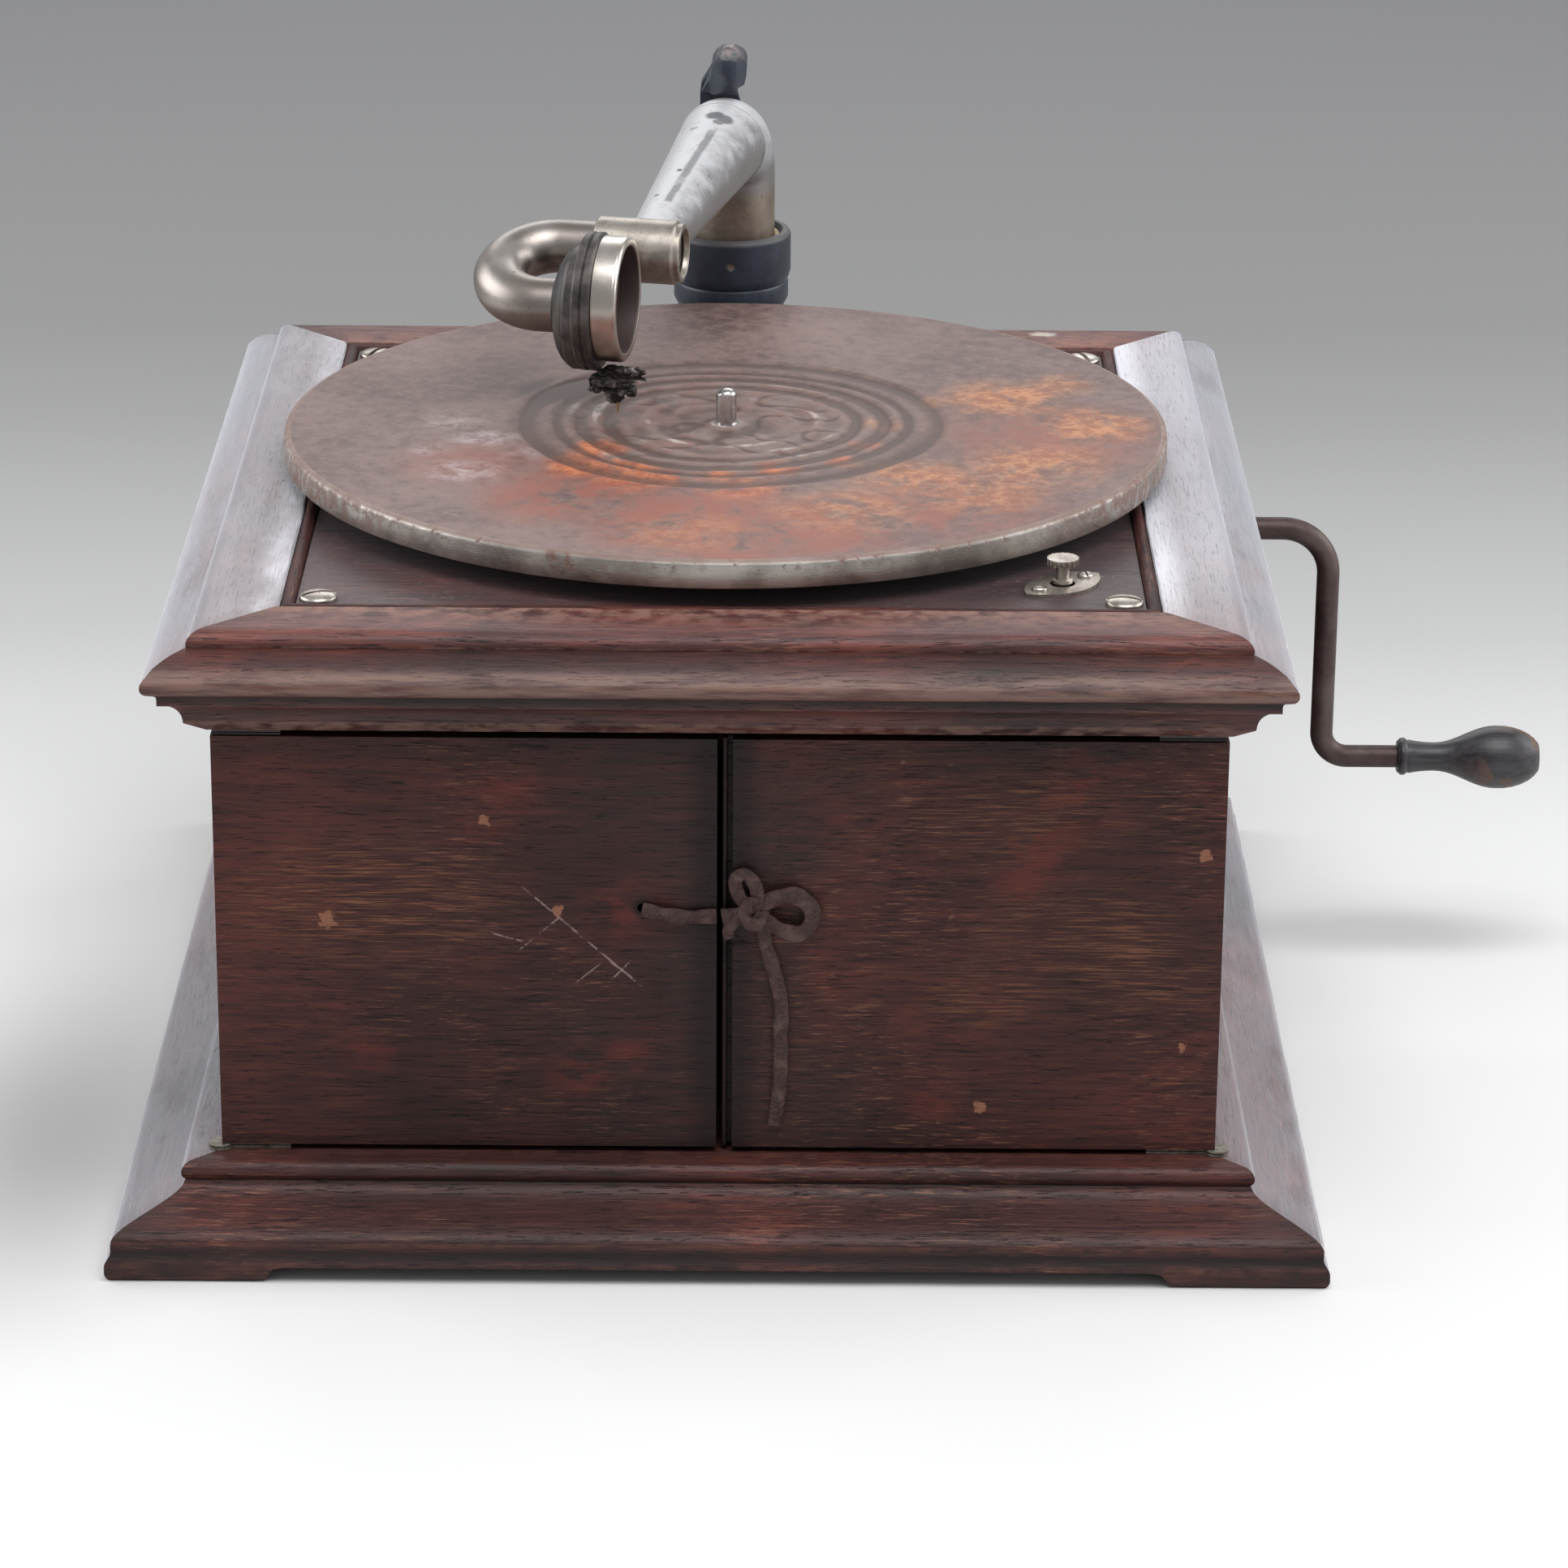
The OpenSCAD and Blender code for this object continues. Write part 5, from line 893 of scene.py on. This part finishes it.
orange = patch([(0.098, 0.0353, 0.03, 1), (0.1277, 0.002, 0.027, 1), (0.1061, -0.0452, 0.034, 0.9),
                (0.0647, -0.0598, 0.03, 0.85), (0.0548, 0.005, 0.012, 0.9), (0.118, 0.052, 0.018, 0.7),
                (0.04, -0.095, 0.034, 0.65), (-0.01, -0.12, 0.03, 0.45), (0.085, -0.075, 0.03, 0.7),
                (0.076, 0.03, 0.012, 0.5)])
fresh = mix(grit.fade(0.42, 0.6), (0.26, 0.088, 0.038), (0.45, 0.205, 0.098))
rust.paint(orange * (streak.fade(0.38, 0.54) * 0.72 + 0.26), fresh)
bright = patch([(-0.0425, -0.0257, 0.014, 1), (-0.0336, -0.0486, 0.016, 1), (-0.0034, -0.0569, 0.012, 1),
                (0.0184, -0.0473, 0.011, 1), (-0.05, -0.04, 0.014, 0.7), (0.04, -0.038, 0.009, 0.7),
                (0.048, -0.02, 0.008, 0.6), (-0.02, -0.062, 0.012, 0.8)], stirred)
bright = bright.at_least(patch([(-0.029, -0.06, 0.02, 0.75), (0.006, -0.07, 0.02, 0.6),
                               (-0.048, -0.048, 0.018, 0.8)]))
ember = mix(grit.fade(0.4, 0.6), (0.33, 0.07, 0.02), (0.56, 0.175, 0.06))
rust.paint(bright * (streak.fade(0.38, 0.52) * 0.72 + 0.2), ember)
middle = spot(place, 0, spindle_y, platter_z, 0.04, 0.07)
rust.paint(middle * 0.34, mix(streak.fade(0.42, 0.58), (0.235, 0.19, 0.165), (0.265, 0.125, 0.1)))
# Painted shade in the troughs of the ripples and on the underside, and a painted highlight on the crests.
rust.paint(low.fade(0.5, 0.95) * 0.7, (0.05, 0.029, 0.025))
crest_highlight = low.fade(0.34, 0.06) * middle * (streak * 0.5 + grit * 0.5).fade(0.4, 0.56)
rust.paint(crest_highlight * 0.72, (0.56, 0.47, 0.43))
pits = place.noise(700, 3, 0.7).fade(0.62, 0.7)
rust.paint(pits * 0.4, (0.1, 0.055, 0.045))
rust.set(Roughness=0.46 + grit * 0.22 - low.fade(0.5, 0.1) * middle * 0.14, Specular_IOR_Level=0.5)
rust.bump(grit * 0.6 + streak * 0.4 - pits * 0.3, 0.00035, 0.6)
add_piece("turntable_plate", plate_points, plate_faces, "platter", rust, ["turntable"], 60,
          {"low": plate_low})

rim_round = 0.0022
rim_outline = [*arc(flat_radius, -rim_round, rim_round, 90, 0, 7), (plate_radius, -0.005),
               (plate_radius, -0.0091), (0.1521, -0.0095), (0.151, -0.0095), (0.1508, -0.0092),
               (0.1508, -0.003), (under_radius, under_z)]
rim_points = []
for radius, height in rim_outline:
    rim_points += turntable_ring(radius, height, 0.00007 if radius > 0.1515 else 0.0)
rim_faces = band(len(rim_outline), plate_turns)
rim_steel = Finish("rim_steel")
place = rim_steel.place
rim_cloud = place.noise(60, 4, 0.6)
rim_fine = place.scaled(1, 1, 6).noise(300, 4, 0.65)
rim_edge = place.part("Z").fade(platter_z - 0.0046, platter_z - 0.0012)
crown = place.part("Z").fade(platter_z - 0.0016, platter_z - 0.0005)
flecks = place.warped(200, 0.003).noise(260, 4, 0.7)
rim_rust = flecks.fade(0.56, 0.62) * (rim_edge * 0.7 + 0.22)
bite = spot(place.warped(160, 0.006), -0.0521, -0.14, platter_z - 0.003, 0.003, 0.008)
# Towards its sides the rim is painted rust-brown and dull: partly rust, partly painted shade.
side_shade_and_rust = place.part("X").math("ABSOLUTE").fade(0.08, 0.128) * flecks.fade(0.36, 0.58)
rim_rust = rim_rust.at_least(bite * flecks.fade(0.4, 0.52)).at_least(crown * 0.75).at_least(side_shade_and_rust * 0.85)
rim_colour = mix(rim_cloud.fade(0.35, 0.65), (0.31, 0.285, 0.255), (0.52, 0.49, 0.455))
rust_tone = mix(rim_fine, (0.13, 0.06, 0.04), (0.26, 0.165, 0.145))
rim_steel.set(
    Base_Color=mix(rim_rust, rim_colour, rust_tone),
    Metallic=0.92 - rim_rust * 0.85,
    Roughness=0.33 + rim_fine * 0.14 + rim_rust * 0.3,
)
rim_steel.bump(rim_fine * 0.6 + rim_cloud * 0.5 - rim_rust * 0.5, 0.0003, 0.5)
add_piece("turntable_rim", rim_points, rim_faces, "platter", rim_steel, ["turntable"], 50)
bright_pin = metal("bright_pin", (0.34, 0.32, 0.31), (0.72, 0.7, 0.69), 0.16, 400, 0.1)
dress("spindle", bright_pin)


# The rear casting and the arm's bearing
# A japanned casting stands on the back of the case, with a collar round the foot of the arm
# and a strap that reaches over its elbow. Handling has greyed its edges.
pivot = Vector((0, 0.18, 0))
japan = Finish("japanned_iron")
place = japan.place
dull = place.noise(70, 4, 0.6)
handled = place.noise(260, 4, 0.65)
japan.set(Base_Color=mix(dull.fade(0.35, 0.7), (0.0105, 0.0146, 0.0245), (0.025, 0.034, 0.054)))
rim_ring = place.part("Z").fade(0.2478, 0.2497) * place.part("Z").fade(0.2516, 0.2505)
japan.paint(rim_ring * 0.45, (0.14, 0.13, 0.12))
chipped = spot(place.warped(200, 0.003), 0.0002, 0.158, 0.2413, 0.0006, 0.0021)
japan.paint(chipped * 0.9, (0.16, 0.125, 0.1))
tip = place.part("Z").fade(0.3135, 0.3185)
japan.paint(tip * handled.fade(0.35, 0.6) * 0.8, (0.23, 0.175, 0.165))
flanks = place.part("Z").fade(0.301, 0.306) * place.part("Z").fade(0.3135, 0.309)
japan.paint(flanks * handled.fade(0.5, 0.7) * 0.3, (0.12, 0.1, 0.1))
rusty = handled.fade(0.66, 0.72)
japan.paint(rusty * 0.5, (0.085, 0.048, 0.032))
japan.set(Roughness=0.36 + dull * 0.16 + rim_ring * 0.1, Specular_IOR_Level=0.5)
japan.bump(dull * 0.5 + handled * 0.3 - chipped * 1.5, 0.0005, 0.6)
dress("back_bracket", japan, 0.0011)
dress("bracket_screws", worn_nickel, 0.0002)
dress("arm_bushing", worked_brass, 0.0002)


# The tone arm
# A seamed tube of bright tin-white metal: a riser in the collar, an elbow and a long taper.
# Its white bloom is painted on its lit top and left, and its underside is painted browner and
# darker as painted shade, with a dark run from a blot on the elbow.
arm_turn = math.radians(11.2)
arm_reach = 0.131
arm_tube = Finish("tin_white_tube")
place = arm_tube.place
arm_place = place.moved((0, -pivot.y, 0)).turned(0, 0, math.degrees(arm_turn))
arm_across, arm_along, arm_up = arm_place.part("X"), arm_place.part("Y"), arm_place.part("Z")
centre_up = (arm_along + arm_reach) * 0.09453 + 0.2761
tube_radius = (arm_along + arm_reach) * 0.0632 + 0.0089
arm_across = arm_across - (arm_along + 0.0186) * 0.0244 * (arm_along.fade(-0.016, -0.021))
over = (arm_up - centre_up) / tube_radius
elbow_side = arm_along.fade(-0.026, -0.014)
elbow_z = 0.2715
elbow_radius = 0.02
elbow_over = (arm_up - elbow_z) / elbow_radius - arm_across * 14
lit = over - arm_across / tube_radius * 0.35
lit = lit * (1 - elbow_side) + elbow_over * elbow_side
drift = place.noise(60, 4, 0.6)
mottle = place.warped(90, 0.005).noise(110, 5, 0.68)
fleck = place.noise(330, 5, 0.7)
# Painted light and shade: white on the lit top and left of the tube, a browner, darker tone below, brassy on
# the riser.
white = (lit + drift * 0.5 - 0.25).fade(-0.45, 0.25)
warm = mix(drift.fade(0.3, 0.7), (0.13, 0.098, 0.072), (0.27, 0.22, 0.175))
shaded_underside_tone = mix(arm_up.fade(0.262, 0.27), warm, mix(drift, (0.17, 0.15, 0.14), (0.3, 0.28, 0.27)))
# The white itself is lighter where the tube faces the light, a painted highlight over mottled bloom.
glare_and_bloom = mix((lit * 0.42 + mottle).fade(0.38, 0.92), (0.165, 0.162, 0.17), (0.46, 0.46, 0.48))
arm_tube.set(Base_Color=mix(white, shaded_underside_tone, glare_and_bloom))
arm_tube.paint(mottle.fade(0.6, 0.7) * 0.22, (0.21, 0.2, 0.205))
stir = place.warped(160, 0.0012)
run = line(stir, (-0.0064, 0.1367, 0.2986), (-0.0218, 0.0733, 0.2884), 0.0019, (0, 0, 1))
run = run * (place.noise(150, 3, 0.6).fade(0.3, 0.45) * 0.4 + 0.6)
blots = spots(place.warped(140, 0.003), 0.6, [
    (-0.0058, 0.1495, 0.301, 0.0043, 0.85), (-0.0022, 0.1475, 0.2998, 0.0041, 0.8),
    (-0.0045, 0.144, 0.2996, 0.0026, 0.7), (-0.0137, 0.1397, 0.2981, 0.0018, 0.5),
    (-0.018, 0.1005, 0.2929, 0.0014, 0.9), (-0.0258, 0.0802, 0.2888, 0.0012, 0.8)])
marks = (run * 0.62).at_least(blots)
arm_tube.paint(marks * 0.97, (0.03, 0.032, 0.04))
# Painted shadow of the strap on the elbow.
strap_shadow = spot(place.scaled(0.55, 1, 1), -0.002, 0.1672, 0.303, 0.002, 0.0036)
arm_tube.paint(strap_shadow * 0.75, (0.13, 0.115, 0.1))
freckles = fleck.fade(0.6, 0.67) * (drift.fade(0.4, 0.6) * 0.8 + 0.2)
arm_tube.paint(freckles * 0.6, (0.115, 0.095, 0.085))
arm_tube.set(
    Metallic=0.62 - white * 0.42 - marks * 0.2,
    Roughness=0.34 + drift * 0.1 + mottle * 0.1 + marks * 0.2 + freckles * 0.2,
)
arm_tube.bump(drift * 0.5 + mottle * 0.2 + fleck * 0.2 - marks * 0.4, 0.0004, 0.5)
dress("tonearm", arm_tube, 0.0003)


# The gooseneck and its cross tube
# Nickelled tubes of brass, gone a warm grey, with fine dark specks and a few small dents.
neck_nickel = Finish("champagne_nickel")
place = neck_nickel.place
tone = place.noise(45, 4, 0.55, 0.4)
fine = place.noise(420, 4, 0.7)
specks = place.warped(300, 0.002).noise(520, 3, 0.7).fade(0.655, 0.7)
dull_band = place.noise(26, 3, 0.5).fade(0.45, 0.7)
neck_nickel.set(Base_Color=mix(tone.fade(0.32, 0.68), (0.255, 0.222, 0.2), (0.395, 0.36, 0.338)))
neck_nickel.paint(dull_band * 0.25, (0.25, 0.19, 0.145))
nicks = spots(place.warped(300, 0.0015), 0.3, [
    (-0.0135, 0.056, 0.2835, 0.0016, 1), (-0.024, 0.058, 0.279, 0.001, 1),
    (-0.07, 0.02, 0.276, 0.0014, 1), (-0.06, 0.016, 0.26, 0.0012, 1)])
flaws = specks.at_least(nicks)
neck_nickel.paint(flaws * 0.8, (0.045, 0.032, 0.025))
neck_nickel.set(
    Metallic=1.0 - flaws * 0.7,
    Roughness=0.31 + tone * 0.1 + fine * 0.06 + flaws * 0.3,
)
neck_nickel.bump(tone * 0.7 + fine * 0.1 - flaws * 0.5, 0.00035, 0.5)
dress("gooseneck", neck_nickel)
cross_nickel = metal("cross_nickel", (0.3, 0.262, 0.228), (0.47, 0.43, 0.385), 0.3, 300, 0.3)
dress("cross_tube", cross_nickel, 0.0002)
dress("cross_tube_screw", plain_steel, 0.00015)


# The sound box
# A thick back of dark pot metal, crazed and bluish, a grooved flange, and a deep nickelled
# ring round the recess of the diaphragm.
box_reach = 0.16626
box_z = 0.26825
box_turn = Matrix.Rotation(-arm_turn, 3, "Z")
box_at = pivot + box_turn @ Vector((0, -box_reach, box_z))
pot_metal = Finish("old_pot_metal")
place = pot_metal.place
skin = place.warped(60, 0.004).noise(85, 5, 0.65, 0.5)
bluish = place.noise(34, 3, 0.5)
crackle = place.warped(60, 0.004).cells(230)
pot_metal.set(Base_Color=mix(skin.fade(0.34, 0.66), (0.02, 0.0165, 0.0155), (0.088, 0.07, 0.056)))
pot_metal.paint(bluish.fade(0.46, 0.62) * 0.65, (0.022, 0.027, 0.035))
pot_metal.paint(skin.fade(0.62, 0.7) * 0.6, (0.19, 0.16, 0.14))
pot_metal.set(Metallic=0.35, Roughness=0.4 + skin * 0.2)
pot_metal.bump(skin * 0.8 + crackle * 0.2, 0.0006, 0.7)
dress("soundbox_back", pot_metal, 0.0005)
flange = Finish("dark_flange")
flange_tone = flange.place.noise(90, 4, 0.6)
flange.set(
    Base_Color=mix(flange_tone.fade(0.35, 0.68), (0.044, 0.038, 0.037), (0.13, 0.112, 0.105)),
    Metallic=0.55,
    Roughness=0.36 + flange_tone * 0.2,
)
flange.bump(flange_tone, 0.0004, 0.6)
dress("soundbox_body", flange, 0.0003)
ring_metal = Finish("ring_nickel")
place = ring_metal.place
ring_tone = place.noise(60, 4, 0.55)
ring_fine = place.noise(500, 3, 0.65)
ring_low = place.part("Z").fade(0.262, 0.25)
ring_metal.set(Base_Color=mix(ring_tone.fade(0.3, 0.7), (0.5, 0.45, 0.4), (0.75, 0.7, 0.645)))
ring_metal.paint(ring_low * 0.7, (0.27, 0.215, 0.155))
ring_side = place.moved(tuple(-box_at)).turned(0, 0, math.degrees(arm_turn))
# The inner wall of the ring round the recess is painted dark as painted shade.
recess_shade = ring_side.scaled(0, 1, 1).distance((0, 0, 0)).fade(0.019, 0.0186)
ring_metal.paint(recess_shade * 0.92, mix(ring_fine, (0.02, 0.011, 0.012), (0.062, 0.034, 0.035)))
ring_mark = spot(place.warped(300, 0.0015), box_at.x - 0.002, box_at.y - 0.0218, box_at.z - 0.0005,
                 0.001, 0.0022)
ring_metal.paint(ring_mark * 0.9, (0.06, 0.045, 0.035))
ring_metal.set(
    Metallic=1.0 - ring_mark * 0.6 - recess_shade * 0.6,
    Roughness=0.23 + ring_tone * 0.08 + ring_fine * 0.06 + ring_mark * 0.3 + recess_shade * 0.25,
)
ring_metal.bump(ring_tone * 0.7 + ring_fine * 0.1 - ring_mark, 0.0003, 0.5)
dress("soundbox_ring", ring_metal, 0.0004)
mica = Finish("brown_mica")
leaf = mica.place.warped(80, 0.004).noise(60, 4, 0.6)
mica.set(Base_Color=mix(leaf.fade(0.35, 0.65), (0.028, 0.016, 0.015), (0.08, 0.047, 0.043)), Roughness=0.32,
         Coat_Weight=0.4, Coat_Roughness=0.12)
mica.bump(leaf, 0.0003, 0.5)
dress("diaphragm", mica)


# The stylus bar and the needle
# The socket under the sound box is a black lump of old solder and grime with torn foil
# round it; a new needle of brass colour sticks out below.
grime = Finish("black_solder")
crust_and_glints = grime.place.warped(200, 0.003).noise(210, 5, 0.7, 0.6)
# The lightest tone of the crust stands for painted glints on the solder and foil.
grime.set(
    Base_Color=crust_and_glints.ramp((0.32, (0.012, 0.0105, 0.0105)), (0.52, (0.048, 0.04, 0.037)),
                          (0.66, (0.26, 0.225, 0.21))),
    Metallic=0.45,
    Roughness=0.36 + crust_and_glints * 0.25,
)
grime.bump(crust_and_glints, 0.001, 0.8)
dress("stylus_bar", grime, 0.0004)
dress("needle", metal("needle_brass", (0.42, 0.3, 0.14), (0.72, 0.56, 0.3), 0.25, 500))
dress("needle_screw", grime, 0.0003)
lean = math.radians(7.5)


def at_needle(x, ahead, down):
    """A place by the needle: across, towards the front, and down along the needle's line."""
    y = -box_reach - down * math.sin(lean) - ahead * math.cos(lean)
    z = box_z - down * math.cos(lean) + ahead * math.sin(lean)
    return pivot + box_turn @ Vector((x, y, 0)) + Vector((0, 0, z))


def crumpled(name, centre, size, seed, rough=0.3):
    """A closed lump with a torn and folded skin."""
    rows, columns = 18, 26
    points = []
    for i in range(rows + 1):
        down = math.pi * i / rows
        for k in range(columns):
            turn = math.tau * k / columns
            ray = Vector((math.sin(down) * math.cos(turn), math.sin(down) * math.sin(turn), math.cos(down)))
            fold = noise.noise(ray * 2.1 + Vector((seed, 0, 0)))
            fold += 0.55 * noise.noise(ray * 5.3 + Vector((0, seed, 0)))
            bulge = 1 + rough * fold
            points.append(at_needle(*[c + r * s * bulge for c, r, s in zip(centre, ray, size)]))
    faces = band(rows + 1, columns, turned=True)
    add_piece(name, points, faces, "soundbox", grime, ["stylus_bar"], 35)


foil_thickness = 0.00014


def torn_sheet(name, centre, across, down, seed, bend):
    """A scrap of foil with ragged edges, folded about one line."""
    rows, columns = 9, 16
    points, faces = [], []
    for layer in (0.0, foil_thickness):
        for i in range(rows + 1):
            for k in range(columns + 1):
                u, v = k / columns - 0.5, i / rows - 0.5
                torn = 1 + 0.35 * noise.noise(Vector((u * 6, seed, v * 5)))
                x = centre[0] + across * u * torn
                drop = centre[2] + down * v * torn + 0.0007 * noise.noise(Vector((u * 9, v * 7, seed)))
                ahead = centre[1] + bend * (v * v * 4 - 0.3)
                ahead += 0.0011 * noise.noise(Vector((u * 8, seed + 3, v * 8)))
                points.append(at_needle(x, ahead + layer, drop))
    half = (rows + 1) * (columns + 1)
    for i in range(rows):
        for k in range(columns):
            a = i * (columns + 1) + k
            b, c, d = a + 1, a + columns + 2, a + columns + 1
            faces.append([a, b, c, d])
            faces.append([a + half, d + half, c + half, b + half])
    rim = (list(range(columns)) + [i * (columns + 1) + columns for i in range(rows)]
           + [rows * (columns + 1) + k for k in range(columns, 0, -1)]
           + [i * (columns + 1) for i in range(rows, 0, -1)])
    for a, b in zip(rim, rim[1:] + rim[:1]):
        faces.append([b, a, a + half, b + half])
    add_piece(name, points, faces, "soundbox", grime, ["stylus_bar"], 30)


crumpled("solder_root", (-0.005, 0.0004, 0.0258), (0.0072, 0.003, 0.0026), 3.1, 0.22)
crumpled("solder_lump", (-0.0072, 0.0005, 0.0288), (0.0078, 0.0033, 0.003), 1.7)
crumpled("solder_neck", (-0.0056, -0.0002, 0.0328), (0.0036, 0.0026, 0.0036), 5.2, 0.25)
torn_sheet("foil_front", (-0.001, 0.0033, 0.0252), 0.0125, 0.004, 2.4, -0.001)
torn_sheet("foil_low", (-0.0042, 0.0024, 0.0312), 0.0088, 0.0034, 7.9, 0.0012)
torn_sheet("foil_rear", (-0.0115, 0.0028, 0.03), 0.006, 0.0052, 4.1, 0.001)


# The crank
# One bent iron rod, brown with rust, in a brass keyhole plate, and a turned grip of black
# wood that is rubbed brown at its end.
crank_rust = Finish("crank_rust")
place = crank_rust.place
rust_tone = place.noise(70, 5, 0.62)
rust_fine = place.noise(600, 4, 0.7)
bright_wear = place.noise(38, 3, 0.5).fade(0.56, 0.68)
crank_colour = mix((rust_tone * 0.7 + rust_fine * 0.3).fade(0.34, 0.66), (0.033, 0.02, 0.018),
                   (0.08, 0.05, 0.047))
crank_rust.set(
    Base_Color=mix(bright_wear * 0.3, crank_colour, (0.16, 0.13, 0.12)),
    Metallic=0.45,
    Roughness=0.4 + rust_fine * 0.2,
)
crank_rust.bump(rust_tone * 0.5 + rust_fine * 0.3, 0.0005, 0.7)
dress("crank_rod", crank_rust)
grip_wood = Finish("black_grip_wood")
place = grip_wood.place
grip_grain = place.scaled(1, 9, 9).noise(60, 4, 0.6)
grip_patch = place.warped(50, 0.006).noise(55, 4, 0.6)
grip_end = place.part("X").fade(0.268, 0.284) * place.part("X").fade(0.306, 0.292)
rubbed = (grip_patch + grip_end * 0.14).fade(0.56, 0.66) * (grip_end * 0.92 + 0.08)
grip_colour = mix(grip_grain.fade(0.3, 0.7), (0.017, 0.0165, 0.019), (0.05, 0.045, 0.05))
grip_wood.set(
    Base_Color=mix(rubbed * 0.8, grip_colour, (0.15, 0.078, 0.048)),
    Roughness=0.34 + grip_grain * 0.15 + rubbed * 0.2,
)
grip_wood.bump(grip_grain, 0.0003, 0.5)
dress("crank_grip", grip_wood)
dress("crank_escutcheon", worked_brass, 0.0002)
dress("winding_shaft", plain_steel, 0.0002)


# The inner horn
# Sheet iron, japanned black and soldered along its edges, in a dark frame behind the doors.
horn_black = Finish("horn_black")
horn_dust = horn_black.place.noise(24, 4, 0.6)
horn_black.set(
    Base_Color=mix(horn_dust.fade(0.4, 0.75), (0.011, 0.01, 0.01), (0.04, 0.034, 0.03)),
    Roughness=0.45 + horn_dust * 0.2,
)
horn_black.bump(horn_dust, 0.0006, 0.4)
dress("horn_sides horn_covers horn_throat", horn_black)
dress("horn_frame", board_oak, 0.0006)


# The spring motor
# Blackened plates and pillars, steel arbors and barrel, brass wheels and a blued spring.
dress("motor_plates", black_iron, 0.0003)
dress("motor_bolts barrel_arbor mid_arbor spring_barrel governor_balls", plain_steel, 0.0002)
dress("spindle_gears governor_shaft brake_lever", worked_brass)
dress("mainspring", metal("blued_spring", (0.05, 0.06, 0.1), (0.13, 0.15, 0.21), 0.28, 160, 0.2))


# The studio
# A pale sweep of floor that greys towards the back, one soft lamp over the front, one on
# each side and one behind, as in a small product studio.
floor = Finish("studio_floor")
place = floor.place
depth = (place.part("Y") + 0.4) * 0.5
floor.set(Base_Color=depth.ramp((0.0, (0.75,) * 3), (0.2, (0.71,) * 3), (0.3, (0.6,) * 3),
                                (0.42, (0.42,) * 3), (0.58, (0.285,) * 3), (0.66, (0.25,) * 3),
                                (0.95, (0.243, 0.243, 0.246))))
# A painted shadow on the floor left of the case and a painted pool of light to the right.
left_floor_shadow = place.scaled(1, 0.42, 1).distance((-0.235, -0.045, 0)).fade(0.085, 0.0)
right_light = place.part("X").fade(0.1, 0.75) * place.part("Y").fade(0.55, -0.1)
floor.paint(right_light * 0.42, (0.98, 0.98, 0.98))
# The crank's painted shadow on the floor.
crank_floor_shadow = place.scaled(0.34, 1, 1).distance((0.0825, 0.103, 0)).fade(0.031, 0.006)
floor.paint((left_floor_shadow * 0.62).at_least(crank_floor_shadow * 0.34), (0.26, 0.26, 0.265))
floor.set(Roughness=1.0, Specular_IOR_Level=0.0)
floor_mesh = bpy.data.meshes.new("floor")
floor_size = 6.0
floor_mesh.from_pydata([(-floor_size, -floor_size, 0), (floor_size, -floor_size, 0),
                        (floor_size, floor_size, 0), (-floor_size, floor_size, 0)], [], [[0, 1, 2, 3]])
floor_mesh.materials.append(floor.material)
floor_sheet = bpy.data.objects.new("floor", floor_mesh)
scene.collection.objects.link(floor_sheet)


def lamp(name, place, target, size, watts):
    """A soft square lamp that faces a target."""
    light = bpy.data.lights.new(name, "AREA")
    light.shape = "RECTANGLE"
    light.size, light.size_y = size
    light.energy = watts
    made = bpy.data.objects.new(name, light)
    facing = (Vector(target) - Vector(place)).to_track_quat("-Z", "Y")
    made.matrix_world = Matrix.Translation(place) @ facing.to_matrix().to_4x4()
    scene.collection.objects.link(made)


lamp("lamp_over_front", (0.3, -0.9, 2.3), (0, 0, 0.1), (1.8, 1.4), 42)
lamp("lamp_left", (-1.7, 0.3, 0.95), (0, 0, 0.15), (1.6, 1.2), 22)
lamp("lamp_right", (1.7, 0.3, 0.95), (0, 0, 0.15), (1.6, 1.2), 20)
lamp("lamp_behind", (0, 2.2, 1.5), (0, 0, 0.2), (2.0, 0.9), 14)
world = bpy.data.worlds.new("studio")
world.use_nodes = True
world.node_tree.nodes["Background"].inputs["Color"].default_value = (0.95, 0.97, 1.0, 1)
world.node_tree.nodes["Background"].inputs["Strength"].default_value = 0.42
scene.world = world
